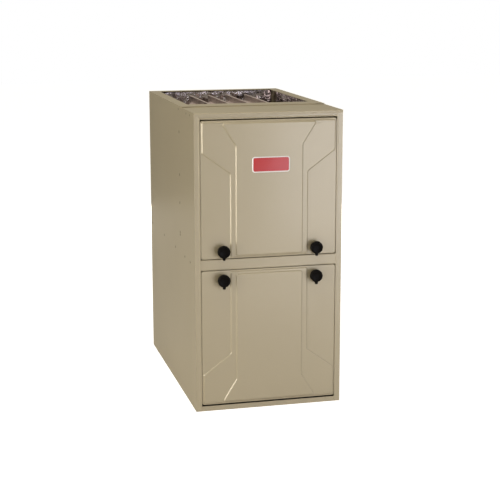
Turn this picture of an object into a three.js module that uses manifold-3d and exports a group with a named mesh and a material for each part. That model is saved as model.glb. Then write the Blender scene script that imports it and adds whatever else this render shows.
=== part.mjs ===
// Forced air gas furnace, upflow, condensing. Millimetres, +Z up, front faces -Y.
// Origin: centre of the casing's footprint, on the plane that it stands on.

import * as THREE from 'three';
import { mergeVertices } from 'three/addons/utils/BufferGeometryUtils.js';
import Module from 'manifold-3d';

const wasm = await Module();
wasm.setup();

// ---------------------------------------------------------------- driving dimensions

// Casing
const CASING_WIDTH = 444.5;
const CASING_DEPTH = 749.3;
const CASING_HEIGHT = 889;
const SHEET = 1.2;
const SEAT_GAP = 0.3;
const LAP = 0.5;
const CUT_PAST = 1;
const FRONT_FLANGE = 17;
const FRONT_FLANGE_RETURN = 16;
const BOTTOM_FLANGE = 25;
const SUPPLY_SIDE_FLANGE = 31.75;
const SUPPLY_REAR_FLANGE = 30;
const SUPPLY_FRONT_SETBACK = 249;
const TOP_PLATE_LENGTH = 182;
const TOP_PLATE_LAP = 20;
const TOP_STEP = 2.2;
const TOP_LIP_HEIGHT = 10;
const TOP_LIP_STANDOFF = 0.4;

// Rails and doors, from the floor up
const BOTTOM_RAIL_HEIGHT = 15;
const BOTTOM_RAIL_DEPTH = 30;
const DOOR_BOTTOM_GAP = 4;
const LOWER_DOOR_HEIGHT = 408;
const RAIL_DOOR_GAP = 3;
const CENTRE_RAIL_HEIGHT = 28;
const CENTRE_RAIL_DEPTH = 19.5;
const CENTRE_RAIL_LIP = 8;
const DOOR_TOP_GAP = 11.8;
const DOOR_SIDE_GAP = 1.25;
const DOOR_DEPTH = 20;
const DOOR_CORNER = 8;
const DOOR_LINER_THICKNESS = 12;
const HEADER_GAP = 6.5;
const UPPER_HINGE_SETBACK = 9;
const UPPER_HINGE_DROP = 6;
const LOWER_HINGE_SETBACK = 4;
const LOWER_HINGE_RISE = 6;
const HINGE_STUD_RADIUS = 2;
const HINGE_STUD_REACH = 3.5;

// Stamped panels of the doors
const STAMP_STEP = 2.8;
const STAMP_SLOPE = 3;
const STAMP_EDGE = 3;
const LOWER_PANEL_SETBACK = 10;
const CENTRE_PANEL_HALF = 102;
const CENTRE_PANEL_SPREAD = 145;
const CENTRE_PANEL_BEND = 75;
const STRIP_HALF = 118;
const STRIP_BEND = 155;
const STRIP_EDGE = 94;
const NAMEPLATE_WIDTH = 113;
const NAMEPLATE_HEIGHT = 46;
const NAMEPLATE_THICKNESS = 1.5;
const NAMEPLATE_CORNER = 9;
const NAMEPLATE_TOP_OFFSET = 130;
const NAMEPLATE_SIDE_OFFSET = 4;

// Quarter-turn door latches
const KNOB_SPACING = 280;
const UPPER_KNOB_EDGE = 24;
const LOWER_KNOB_EDGE = 28;
const KNOB_RADIUS = 18.6;
const KNOB_FLUTES = 12;
const KNOB_FLUTE_DEPTH = 0.9;
const KNOB_DISC = 14;
const KNOB_NECK_RADIUS = 13.5;
const KNOB_NECK = 12;
const KNOB_POINTER = 25;
const KNOB_POINTER_WIDTH = 11;
const KNOB_POINTER_TIP = 5.5;
const KNOB_POINTER_THICKNESS = 7;
const KNOB_POINTER_LAP = 4;
const KNOB_SHAFT_RADIUS = 5;
const KNOB_SHAFT_PLAY = 1.5;
const PAWL_STANDOFF = 2.5;
const PAWL_THICKNESS = 3;
const PAWL_WIDTH = 16;
const PAWL_BITE = 10;

// Partitions and insulation
const DECK_ABOVE_RAIL_FOOT = 10;
const DECK_FRONT_SETBACK = 30;
const DECK_FLANGE = 15;
const HARNESS_HOLE_RADIUS = 10;
const VESTIBULE_SETBACK = 222;
const LINER_THICKNESS = 12;

// Heat exchangers
const CELL_COUNT = 4;
const CELL_PITCH = 63;
const CELL_DROP = 31;
const CELL_TUBE_RADIUS = 18;
const CELL_BORE_RADIUS = 15.5;
const CELL_PASSES = 4;
const CELL_SEAM = 4;
const CELL_BACK_CLEARANCE = 46.3;
const CELL_COIL_CLEARANCE = 24.5;
const COIL_HALF_WIDTH = 185;
const COIL_BOTTOM_CLEARANCE = 38;
const COIL_HEIGHT = 120;
const COIL_FINS = 12;
const COIL_FIN_THICKNESS = 4.5;
const COIL_CORE = 14;
const COUPLING_HALF_WIDTH = 135;
const COUPLING_LENGTH = 97;
const COUPLING_SETBACK = 3;
const COUPLING_WALL = 2;
const COLLECTOR_WIDTH = 240;
const COLLECTOR_HEIGHT = 142;
const COLLECTOR_DEPTH = 34;
const COLLECTOR_DECK_CLEARANCE = 17;
const COLLECTOR_WALL = 3;

// Burners and gas train
const BURNER_BOX_MARGIN = 43;
const BURNER_BOX_HEIGHT = 76;
const BURNER_BOX_DEPTH = 90;
const BURNER_RADIUS = 12;
const BURNER_FLARE_RADIUS = 15;
const BURNER_BORE_RADIUS = 8.5;
const BURNER_LENGTH = 76;
const BURNER_FLARE = 6;
const BURNER_THROAT = 16;
const BURNER_HEAD = 14;
const BURNER_PANEL_GAP = 6;
const CROSSOVER_THICKNESS = 6;
const CROSSOVER_SETBACK = 6;
const BURNER_BRACKET_START = 25;
const BURNER_BRACKET_THICKNESS = 2;
const GAS_PIPE_RADIUS = 10.5;
const GAS_PIPE_BEND = 24;
const SADDLE_WIDTH = 16;
const SADDLE_THICKNESS = 6;
const MANIFOLD_STANDOFF = 19;
const ORIFICE_RADIUS = 5;
const ORIFICE_GAP = 2.5;
const VALVE_WIDTH = 60;
const VALVE_DEPTH = 60;
const VALVE_HEIGHT = 75;
const VALVE_SIDE_CLEARANCE = 14;
const VALVE_BOSS_RADIUS = 15;
const VALVE_BOSS_HEIGHT = 10;
const VALVE_DROP = 55;
const LEVER_LENGTH = 18;
const LEVER_RADIUS = 4;
const LEVER_WIDTH = 7;
const LEVER_EAR = 3;
const LEVER_EAR_REACH = 8.8;
const LEVER_BLADE = 4;
const LEVER_PIN_RADIUS = 2;
const LEVER_PIN_OFFSET = 5;
const LEVER_Z = -28;
const SENSOR_BLOCK = 12;
const SENSOR_ROD_RADIUS = 2;
const SENSOR_ROD_LENGTH = 14;
const SENSOR_SETBACK = 28;
const ROLLOUT_RADIUS = 9;
const ROLLOUT_LENGTH = 8;

// Inducer, vent and condensate
const INDUCER_X = 10;
const INDUCER_RISE = 82;
const INDUCER_DEPTH = 52;
const INDUCER_WALL = 2;
const INDUCER_CUTOFF_RADIUS = 62;
const INDUCER_SCROLL_RADIUS = 84;
const INDUCER_OUTLET_RUN = 100;
const INDUCER_INLET_RADIUS = 26;
const INDUCER_WHEEL_RADIUS = 54;
const INDUCER_WHEEL_WIDTH = 38;
const INDUCER_BLADES = 12;
const VANE_THICKNESS = 1.6;
const INDUCER_SHAFT_RADIUS = 4;
const INDUCER_MOTOR_RADIUS = 42;
const INDUCER_MOTOR_LENGTH = 66;
const INDUCER_MOTOR_CHAMFER = 5;
const INDUCER_FAN_RADIUS = 38;
const INDUCER_FAN_WIDTH = 10;
const INDUCER_FAN_BLADES = 6;
const INDUCER_FAN_HUB = 10;
const INDUCER_FAN_ROOT = 8;
const INDUCER_FAN_TILT_DEGREES = 36;
const RUNNING_GAP = 0.6;
const AXIAL_GAP = 3;
const VENT_RADIUS = 24;
const VENT_WALL = 2.5;
const VENT_SIDE_CLEARANCE = 19;
const VENT_BEND = 40;
const PRESSURE_SWITCH_RADIUS = 30;
const PRESSURE_SWITCH_DEPTH = 26;
const PRESSURE_SWITCH_RIM = 13;
const PRESSURE_SWITCH_SHOULDER = 5;
const PRESSURE_SWITCH_DOME = 2.6;
const PRESSURE_SWITCH_CROWN = 8;
const PRESSURE_SWITCH_X = -160;
const PRESSURE_SWITCH_RISE = 140;
const BARB_RADIUS = 3;
const BARB_LENGTH = 10;
const BARB_RISE = 60;
const BARB_X = -90;
const TUBE_RADIUS = 4.5;
const TUBE_BEND = 22.5;
const TUBE_STANDOFF = 36;
const TRAP_WIDTH = 50;
const TRAP_DEPTH = 42;
const TRAP_HEIGHT = 66;
const TRAP_CORNER = 8;
const TRAP_GAP = 34;
const DRAIN_RADIUS = 8;
const DRAIN_WALL = 2;
const DRAIN_RISE = 24;
const TRAP_SPOUT = 6;

// Blower
const BLOWER_SETBACK = 444;
const BLOWER_DROP = 235;
const BLOWER_WIDTH = 220;
const BLOWER_CUTOFF_RADIUS = 136;
const BLOWER_SCROLL_RADIUS = 190;
const BLOWER_CUTOFF_DEGREES = 80;
const BLOWER_INLET_RADIUS = 112;
const BLOWER_FLANGE = 14;
const WHEEL_RADIUS = 127;
const WHEEL_INNER_RADIUS = 106;
const WHEEL_WIDTH = 190;
const WHEEL_BLADES = 24;
const BLADE_THICKNESS = 1.4;
const BLADE_CAMBER = 5;
const WHEEL_RIM = 3;
const WHEEL_DISC_OFFSET = 20;
const HUB_RADIUS = 16;
const HUB_LENGTH = 30;
const SHAFT_RADIUS = 6.35;
const MOTOR_RADIUS = 68;
const MOTOR_LENGTH = 120;
const MOTOR_END_CROWN = 14;
const MOTOR_SHOULDER = 12;
const MOTOR_SHOULDER_DROP = 5;
const MOTOR_CROWN_RISE = 4;
const SHAFT_END_PROUD = 3;
const SHAFT_END_PLAY = 1;
const MOTOR_OVERHANG = 42;
const MOTOR_BORE_DEPTH = 26;
const MOTOR_BAND = 12;
const MOTOR_BAND_THICKNESS = 2.5;
const MOTOR_ARMS = 3;
const MOTOR_ARM_WIDTH = 14;
const MOTOR_ARM_REACH = 14;

// Controls
const CONTROL_LEFT_CLEARANCE = 17;
const CONTROL_WIDTH = 215;
const CONTROL_HEIGHT = 150;
const CONTROL_SETBACK = 86;
const CONTROL_FLANGE = 40;
const POST_HEIGHT = 8;
const POST_RADIUS = 3;
const POST_INSET = 8;
const BOARD_WIDTH = 130;
const BOARD_HEIGHT = 120;
const BOARD_THICKNESS = 1.6;
const BOARD_MARGIN = 6;
const CONNECTOR_WIDTH = 40;
const CONNECTOR_DEPTH = 16;
const CONNECTOR_HEIGHT = 14;
const RELAY_SIZE = 18;
const RELAY_HEIGHT = 25.2;
const RELAY_COUNT = 4;
const TRANSFORMER_WIDTH = 58;
const TRANSFORMER_HEIGHT = 56;
const TRANSFORMER_DEPTH = 44;
const TRANSFORMER_STACK = 17.6;
const TRANSFORMER_COIL_WIDTH = 38.3;
const TRANSFORMER_COIL_HEIGHT = 34.7;
const TRANSFORMER_COIL_CORNER = 8;
const SWITCH_X = 72;
const SWITCH_WIDTH = 24;
const SWITCH_DEPTH = 30;
const SWITCH_HEIGHT = 34;
const SWITCH_SETBACK = 42;
const PLUNGER_RADIUS = 4;
const PLUNGER_INSERTION = 14;
const PLUNGER_TRAVEL = 4;
const PLUNGER_RISE = 10;
const HARNESS_RADIUS = 6;
const HARNESS_CLEARANCE = 26;
const HARNESS_BEND = 22;
const JUNCTION_SIZE = 70;
const JUNCTION_DEPTH = 42;
const JUNCTION_SETBACK = 120;
const JUNCTION_RISE = 60;

// Facets
const ROUND_SIDES = 20;
const SMALL_ROUND_SIDES = 12;
const TUBE_SIDES = 8;
const VENT_SIDES = 14;
const FLUTE_POINTS = 3;
const CORNER_STEPS = 4;
const SCROLL_STEPS = 28;
const THIN_TUBE_STEPS = 18;
const WIDE_TUBE_STEPS = 12;
const PIPE_STEPS = 20;

// ---------------------------------------------------------------- derived places

const HALF_WIDTH = CASING_WIDTH / 2;
const FRONT = -CASING_DEPTH / 2;
const BACK = CASING_DEPTH / 2;
const INNER_HALF = HALF_WIDTH - SHEET - SEAT_GAP;
const INNER_BACK = BACK - SHEET - SEAT_GAP;
const FRONT_OPENING_HALF = HALF_WIDTH - FRONT_FLANGE;
const DOOR_HALF = FRONT_OPENING_HALF - DOOR_SIDE_GAP;

const LOWER_DOOR_BOTTOM = BOTTOM_RAIL_HEIGHT + DOOR_BOTTOM_GAP;
const RAIL_BOTTOM = LOWER_DOOR_BOTTOM + LOWER_DOOR_HEIGHT + RAIL_DOOR_GAP;
const RAIL_TOP = RAIL_BOTTOM + CENTRE_RAIL_HEIGHT;
const DECK_HEIGHT = RAIL_BOTTOM + DECK_ABOVE_RAIL_FOOT;
const UPPER_DOOR_BOTTOM = RAIL_TOP + RAIL_DOOR_GAP;
const TOP_PLATE_TOP = CASING_HEIGHT - TOP_STEP;
const TOP_PLATE_BOTTOM = TOP_PLATE_TOP - SHEET;
const UPPER_DOOR_TOP = TOP_PLATE_TOP - TOP_LIP_HEIGHT - DOOR_TOP_GAP;
const UPPER_DOOR_HEIGHT = UPPER_DOOR_TOP - UPPER_DOOR_BOTTOM;
const LINER_BACK = SHEET + SEAT_GAP + DOOR_LINER_THICKNESS;

const DECK_TOP = DECK_HEIGHT + SHEET;
const ABOVE_DECK = DECK_TOP + SEAT_GAP;
const BELOW_DECK = DECK_HEIGHT - SEAT_GAP;
const PANEL_FRONT = FRONT + VESTIBULE_SETBACK;
const PANEL_BACK = PANEL_FRONT + SHEET;
const BEFORE_PANEL = PANEL_FRONT - SEAT_GAP;
const BEHIND_PANEL = PANEL_BACK + SEAT_GAP;
const UNDER_TOP = CASING_HEIGHT - SHEET - SEAT_GAP;
const SUPPLY_HALF = HALF_WIDTH - SUPPLY_SIDE_FLANGE;

const BURNER_HEIGHT = CASING_HEIGHT - CELL_DROP - CELL_TUBE_RADIUS;
const CELL_LENGTH = INNER_BACK - LINER_THICKNESS - CELL_BACK_CLEARANCE - BEHIND_PANEL;
const COIL_BOTTOM = ABOVE_DECK + COIL_BOTTOM_CLEARANCE;
const COIL_TOP = COIL_BOTTOM + COIL_HEIGHT;
const COIL_LENGTH = CELL_LENGTH - COUPLING_LENGTH - COUPLING_SETBACK;
const CELL_BOTTOM = COIL_TOP + CELL_COIL_CLEARANCE;
const CELL_PASS_PITCH = (BURNER_HEIGHT - CELL_TUBE_RADIUS - CELL_BOTTOM) / (CELL_PASSES - 1);
const COIL_BACK = BEHIND_PANEL + COIL_LENGTH;
const COLLECTOR_BOTTOM = ABOVE_DECK + COLLECTOR_DECK_CLEARANCE;
const COLLECTOR_FRONT = BEFORE_PANEL - COLLECTOR_DEPTH;

const BURNER_SPREAD = (CELL_COUNT - 1) * CELL_PITCH / 2;
const BURNER_BOX_HALF = BURNER_SPREAD + BURNER_BOX_MARGIN;
const BURNER_BOX_FRONT = BEFORE_PANEL - BURNER_BOX_DEPTH;
const BURNER_BOX_FLOOR = BURNER_HEIGHT - BURNER_BOX_HEIGHT / 2;
const MANIFOLD_Y = BURNER_BOX_FRONT - MANIFOLD_STANDOFF;
const BURNER_FRONT = BEFORE_PANEL - BURNER_PANEL_GAP - BURNER_LENGTH;
const VALVE_X = -INNER_HALF + VALVE_SIDE_CLEARANCE + VALVE_WIDTH / 2;
const VALVE_TOP = BURNER_HEIGHT - VALVE_DROP;

const INDUCER_Z = COLLECTOR_BOTTOM + INDUCER_RISE;
const INDUCER_BACK = COLLECTOR_FRONT - SEAT_GAP;
const INDUCER_FRONT = INDUCER_BACK - INDUCER_DEPTH;
const VENT_RISE = (INDUCER_SCROLL_RADIUS
  + INDUCER_CUTOFF_RADIUS * Math.cos(THREE.MathUtils.degToRad(BLOWER_CUTOFF_DEGREES))) / 2;
const INDUCER_SHAFT_END = INDUCER_DEPTH - INDUCER_WALL - AXIAL_GAP + SEAT_GAP
  + INDUCER_MOTOR_LENGTH + AXIAL_GAP + INDUCER_FAN_WIDTH;
const VENT_X = INNER_HALF - VENT_SIDE_CLEARANCE - VENT_RADIUS;

const BLOWER_Y = FRONT + BLOWER_SETBACK;
const BLOWER_Z = DECK_HEIGHT - BLOWER_DROP;
const BLOWER_HALF = BLOWER_WIDTH / 2;
const BLOWER_OUTLET_FRONT = SHEET
  + BLOWER_CUTOFF_RADIUS * Math.cos(THREE.MathUtils.degToRad(BLOWER_CUTOFF_DEGREES));
const MOTOR_INNER_END = MOTOR_LENGTH - BLOWER_HALF - MOTOR_OVERHANG;

const CONTROL_LEFT = -INNER_HALF + CONTROL_LEFT_CLEARANCE;
const CONTROL_Y = FRONT + CONTROL_SETBACK;
const BOARD_LEFT = CONTROL_LEFT + BOARD_MARGIN;
const BOARD_TOP = BELOW_DECK - SHEET - BOARD_MARGIN;
const CONNECTOR_X = BOARD_LEFT + BOARD_WIDTH / 2;
const CONNECTOR_TOP = BOARD_TOP - BOARD_MARGIN;
const CONNECTOR_Y = CONTROL_Y - POST_HEIGHT - SEAT_GAP - BOARD_THICKNESS - CONNECTOR_DEPTH / 2;

// ---------------------------------------------------------------- solids

// How a drawing lies: its own x, y and depth as directions of the part.
const LAID = {
  flat: new THREE.Matrix4(),
  facing: new THREE.Matrix4().makeBasis(
    new THREE.Vector3(1, 0, 0), new THREE.Vector3(0, 0, 1), new THREE.Vector3(0, -1, 0)),
  sideways: new THREE.Matrix4().makeBasis(
    new THREE.Vector3(0, 1, 0), new THREE.Vector3(0, 0, 1), new THREE.Vector3(1, 0, 0)),
};

function toSolid(geometry) {
  geometry.deleteAttribute('normal');
  geometry.deleteAttribute('uv');
  const merged = mergeVertices(geometry, 1e-4);
  return new wasm.Manifold(new wasm.Mesh({
    numProp: 3,
    vertProperties: new Float32Array(merged.attributes.position.array),
    triVerts: new Uint32Array(merged.index.array),
  }));
}

function toGeometry(solid) {
  const { vertProperties, triVerts, numProp } = solid.getMesh();
  const geometry = new THREE.BufferGeometry();
  const count = vertProperties.length / numProp;
  const positions = new Float32Array(count * 3);
  for (let i = 0; i < count; i += 1) {
    positions.set(vertProperties.subarray(i * numProp, i * numProp + 3), i * 3);
  }
  geometry.setAttribute('position', new THREE.BufferAttribute(positions, 3));
  geometry.setIndex(new THREE.BufferAttribute(triVerts, 1));
  geometry.computeVertexNormals();
  return geometry;
}

function join(...solids) {
  return solids.flat().reduce((sum, solid) => sum.add(solid));
}

function cut(base, ...tools) {
  return tools.flat().reduce((rest, tool) => rest.subtract(tool), base);
}

// A box between two corners.
function slab([x0, x1], [y0, y1], [z0, z1]) {
  const geometry = new THREE.BoxGeometry(x1 - x0, y1 - y0, z1 - z0);
  geometry.translate((x0 + x1) / 2, (y0 + y1) / 2, (z0 + z1) / 2);
  return toSolid(geometry);
}

// A round bar along an axis, starting at a point.
function rod(radius, length, axis, [x, y, z] = [0, 0, 0], sides = ROUND_SIDES) {
  const geometry = new THREE.CylinderGeometry(radius, radius, length, sides);
  geometry.translate(0, length / 2, 0);
  if (axis === 'x') geometry.rotateZ(-Math.PI / 2);
  if (axis === 'z') geometry.rotateX(Math.PI / 2);
  geometry.translate(x, y, z);
  return toSolid(geometry);
}

// A body turned about an axis from pairs of radius and distance along it.
function turned(profile, axis, sides = ROUND_SIDES) {
  const points = profile.map(([radius, along]) => new THREE.Vector2(radius, along));
  const geometry = new THREE.LatheGeometry(points, sides);
  if (axis === 'x') geometry.rotateZ(-Math.PI / 2);
  if (axis === 'z') geometry.rotateX(Math.PI / 2);
  return toSolid(geometry);
}

// A drawn outline with a depth, laid in one of the LAID ways.
function drawn(outline, depth, laid, [x, y, z] = [0, 0, 0], slope = null) {
  const shape = outline instanceof THREE.Shape ? outline : polygon(outline);
  const bevel = slope
    ? { bevelEnabled: true, bevelSegments: 1, bevelThickness: slope.rise, bevelSize: slope.run,
      bevelOffset: -slope.run }
    : { bevelEnabled: false };
  const geometry = new THREE.ExtrudeGeometry(shape, { depth, curveSegments: CORNER_STEPS, steps: 1, ...bevel });
  geometry.applyMatrix4(laid);
  geometry.translate(x, y, z);
  return toSolid(geometry);
}

function polygon(points) {
  return new THREE.Shape(points.map(([x, y]) => new THREE.Vector2(x, y)));
}

function roundedRectangle(width, height, radius, bottom = -height / 2) {
  const shape = new THREE.Shape();
  const left = -width / 2;
  const right = width / 2;
  const top = bottom + height;
  shape.moveTo(left + radius, bottom);
  shape.lineTo(right - radius, bottom);
  shape.absarc(right - radius, bottom + radius, radius, -Math.PI / 2, 0, false);
  shape.lineTo(right, top - radius);
  shape.absarc(right - radius, top - radius, radius, 0, Math.PI / 2, false);
  shape.lineTo(left + radius, top);
  shape.absarc(left + radius, top - radius, radius, Math.PI / 2, Math.PI, false);
  shape.lineTo(left, bottom + radius);
  shape.absarc(left + radius, bottom + radius, radius, Math.PI, Math.PI * 1.5, false);
  return shape;
}

function circle(radius, sides = TUBE_SIDES) {
  const shape = new THREE.Shape();
  for (let i = 0; i < sides; i += 1) {
    const angle = (i / sides) * Math.PI * 2;
    const step = i === 0 ? 'moveTo' : 'lineTo';
    shape[step](radius * Math.cos(angle), radius * Math.sin(angle));
  }
  return shape;
}

// A round tube along straight runs with rounded corners.
function tubeAlong(points, radius, bend, steps, sides = TUBE_SIDES) {
  const corners = points.map((point) => new THREE.Vector3(...point));
  const path = new THREE.CurvePath();
  let start = corners[0];
  for (let i = 1; i < corners.length - 1; i += 1) {
    const before = corners[i].clone().lerp(corners[i - 1], bend / corners[i].distanceTo(corners[i - 1]));
    const after = corners[i].clone().lerp(corners[i + 1], bend / corners[i].distanceTo(corners[i + 1]));
    path.add(new THREE.LineCurve3(start, before));
    path.add(new THREE.QuadraticBezierCurve3(before, corners[i], after));
    start = after;
  }
  path.add(new THREE.LineCurve3(start, corners.at(-1)));
  const geometry = new THREE.ExtrudeGeometry(circle(radius, sides), { steps, extrudePath: path });
  return toSolid(geometry);
}

// A spiral blower outline: an outlet duct whose two walls run up to a given height.
function scrollOutline(cutoffRadius, scrollRadius, cutoffDegrees, outletHeight, inset = 0) {
  const start = THREE.MathUtils.degToRad(cutoffDegrees);
  const growth = Math.log(scrollRadius / cutoffRadius) / (Math.PI * 2 - start);
  const points = [];
  for (let i = 0; i <= SCROLL_STEPS; i += 1) {
    const angle = start + (i / SCROLL_STEPS) * (Math.PI * 2 - start);
    const radius = cutoffRadius * Math.exp(growth * (angle - start)) - inset;
    points.push([radius * Math.cos(angle), radius * Math.sin(angle)]);
  }
  points.push([scrollRadius - inset, outletHeight]);
  points.push([cutoffRadius * Math.cos(start) + inset, outletHeight]);
  points.push([cutoffRadius * Math.cos(start) + inset, cutoffRadius * Math.sin(start) - inset]);
  points.shift();
  return points;
}

// ---------------------------------------------------------------- casing

function casingWrap() {
  const outer = slab([-HALF_WIDTH, HALF_WIDTH], [FRONT, BACK], [0, CASING_HEIGHT]);
  const inner = slab([-HALF_WIDTH + SHEET, HALF_WIDTH - SHEET], [FRONT + SHEET, BACK - SHEET],
    [SHEET, CASING_HEIGHT - SHEET]);
  const bottomHalf = HALF_WIDTH - BOTTOM_FLANGE;
  const doorway = slab([-FRONT_OPENING_HALF, FRONT_OPENING_HALF], [FRONT - SHEET, FRONT + SHEET * 2],
    [-SHEET, CASING_HEIGHT + SHEET]);
  const underside = slab([-bottomHalf, bottomHalf], [FRONT - SHEET, BACK - BOTTOM_FLANGE],
    [-SHEET, SHEET * 2]);
  const plateSeat = slab([-HALF_WIDTH - SHEET, HALF_WIDTH + SHEET],
    [FRONT - SHEET, FRONT + TOP_PLATE_LENGTH], [TOP_PLATE_BOTTOM - SEAT_GAP, CASING_HEIGHT + SHEET]);
  const supply = slab([-SUPPLY_HALF, SUPPLY_HALF],
    [FRONT + TOP_PLATE_LENGTH - SHEET, BACK - SUPPLY_REAR_FLANGE],
    [CASING_HEIGHT - SHEET * 2, CASING_HEIGHT + SHEET]);
  const returns = [-1, 1].map((side) => {
    const edge = side * FRONT_OPENING_HALF;
    const across = [edge, edge + side * SHEET].sort((a, b) => a - b);
    return slab(across, [FRONT, FRONT + FRONT_FLANGE_RETURN], [0, TOP_PLATE_BOTTOM - SEAT_GAP]);
  });
  const studs = [
    [FRONT + UPPER_HINGE_SETBACK, UPPER_DOOR_TOP - UPPER_HINGE_DROP],
    [FRONT + LOWER_HINGE_SETBACK, LOWER_DOOR_BOTTOM + LOWER_HINGE_RISE],
  ].map(([y, z]) => hingeStud(FRONT_OPENING_HALF + HINGE_STUD_REACH, SEAT_GAP, y, z));
  return cut(join(cut(outer, inner, doorway, underside, plateSeat, supply), returns), studs);
}

// The line of a door's two pivot studs, from side to side.
function hingeStud(reach, play, y, z) {
  return rod(HINGE_STUD_RADIUS + play, reach * 2, 'x', [-reach, y, z], SMALL_ROUND_SIDES);
}

function topFrontPlate() {
  const top = [TOP_PLATE_BOTTOM, TOP_PLATE_TOP];
  const lipBack = FRONT - TOP_LIP_STANDOFF;
  const plateBack = FRONT + TOP_PLATE_LENGTH - SEAT_GAP;
  const plate = slab([-HALF_WIDTH, HALF_WIDTH], [lipBack - SHEET, plateBack], top);
  const lap = slab([-INNER_HALF, INNER_HALF], [plateBack - SHEET, plateBack + TOP_PLATE_LAP], top);
  const lip = slab([-HALF_WIDTH, HALF_WIDTH], [lipBack - SHEET, lipBack],
    [TOP_PLATE_TOP - TOP_LIP_HEIGHT, TOP_PLATE_TOP]);
  const headerHalf = FRONT_OPENING_HALF - SEAT_GAP;
  const header = slab([-headerHalf, headerHalf], [FRONT, FRONT + SHEET],
    [UPPER_DOOR_TOP + HEADER_GAP, TOP_PLATE_TOP]);
  return join(plate, lap, lip, header);
}

function supplyFrontStrip() {
  const half = SUPPLY_HALF - SEAT_GAP;
  const back = FRONT + SUPPLY_FRONT_SETBACK;
  const front = FRONT + TOP_PLATE_LENGTH;
  const strip = slab([-half, half], [front, back], [CASING_HEIGHT - SHEET, CASING_HEIGHT]);
  const step = slab([-half, half], [front, front + SHEET],
    [TOP_PLATE_TOP + SEAT_GAP, CASING_HEIGHT]);
  return join(strip, step);
}

function centreRail() {
  const half = FRONT_OPENING_HALF - SEAT_GAP;
  const channel = slab([-half, half], [FRONT, FRONT + CENTRE_RAIL_DEPTH], [RAIL_BOTTOM, RAIL_TOP]);
  const hollow = slab([-half - CUT_PAST, half + CUT_PAST],
    [FRONT + SHEET, FRONT + CENTRE_RAIL_DEPTH - SHEET],
    [RAIL_BOTTOM + SHEET, RAIL_TOP - SHEET]);
  const mouth = slab([-half - CUT_PAST, half + CUT_PAST],
    [FRONT + SHEET, FRONT + CENTRE_RAIL_DEPTH + CUT_PAST],
    [RAIL_BOTTOM + CENTRE_RAIL_LIP, RAIL_TOP - CENTRE_RAIL_LIP]);
  return cut(channel, hollow, mouth);
}

function bottomRail() {
  const faceHalf = FRONT_OPENING_HALF - SEAT_GAP;
  const legHalf = HALF_WIDTH - BOTTOM_FLANGE - SEAT_GAP;
  return join(
    slab([-faceHalf, faceHalf], [FRONT, FRONT + SHEET], [0, BOTTOM_RAIL_HEIGHT]),
    slab([-legHalf, legHalf], [FRONT, FRONT + BOTTOM_RAIL_DEPTH], [0, SHEET]),
  );
}

// A closure pan: its middle is flush with the floor and its rim lies on the casing's flange.
function basePanel() {
  const half = HALF_WIDTH - BOTTOM_FLANGE - SEAT_GAP;
  const front = FRONT + BOTTOM_RAIL_DEPTH + SEAT_GAP;
  const back = BACK - BOTTOM_FLANGE - SEAT_GAP;
  const rimTop = SHEET + SEAT_GAP + SHEET;
  const rim = slab([-INNER_HALF, INNER_HALF], [front, INNER_BACK], [SHEET + SEAT_GAP, rimTop]);
  const middle = slab([-half, half], [front, back], [0, rimTop]);
  const pocket = slab([-half + SHEET, half - SHEET], [front + SHEET, back - SHEET],
    [SHEET, rimTop + SHEET]);
  return cut(join(rim, middle), pocket);
}

function blowerDeck() {
  const front = FRONT + DECK_FRONT_SETBACK;
  const sheet = slab([-INNER_HALF, INNER_HALF], [front, INNER_BACK], [DECK_HEIGHT, DECK_TOP]);
  const flange = slab([-INNER_HALF, INNER_HALF], [front, front + SHEET],
    [DECK_TOP - DECK_FLANGE, DECK_TOP]);
  const outletFront = BLOWER_Y + BLOWER_OUTLET_FRONT;
  const outletBack = BLOWER_Y + BLOWER_SCROLL_RADIUS - SHEET;
  const outletHalf = BLOWER_HALF - SHEET;
  const outlet = slab([-outletHalf, outletHalf], [outletFront, outletBack],
    [DECK_HEIGHT - SHEET, DECK_TOP + SHEET]);
  const grommet = rod(HARNESS_HOLE_RADIUS, SHEET * 3, 'z',
    [CONNECTOR_X, CONNECTOR_Y, DECK_HEIGHT - SHEET]);
  return cut(join(sheet, flange), outlet, grommet);
}

function vestibulePanel() {
  const panel = slab([-INNER_HALF, INNER_HALF], [PANEL_FRONT, PANEL_BACK], [ABOVE_DECK, UNDER_TOP]);
  const ports = cellPlaces().map((x) => rod(CELL_BORE_RADIUS, SHEET * 3, 'y',
    [x, PANEL_FRONT - SHEET, BURNER_HEIGHT], SMALL_ROUND_SIDES));
  const half = COLLECTOR_WIDTH / 2 - COLLECTOR_WALL * 3;
  const coilPort = slab([-half, half], [PANEL_FRONT - SHEET, PANEL_BACK + SHEET],
    [COIL_BOTTOM + COLLECTOR_WALL, COIL_TOP - COLLECTOR_WALL]);
  return cut(panel, ports, coilPort);
}

function sideLiner(side) {
  const across = [side * INNER_HALF, side * (INNER_HALF - LINER_THICKNESS)].sort((a, b) => a - b);
  return slab(across, [BEHIND_PANEL, INNER_BACK], [ABOVE_DECK, UNDER_TOP]);
}

function backLiner() {
  const half = INNER_HALF - LINER_THICKNESS - SEAT_GAP;
  return slab([-half, half], [INNER_BACK - LINER_THICKNESS, INNER_BACK], [ABOVE_DECK, UNDER_TOP]);
}

// ---------------------------------------------------------------- heat exchangers

function cellPlaces() {
  return Array.from({ length: CELL_COUNT }, (_, i) => i * CELL_PITCH - BURNER_SPREAD);
}

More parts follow.
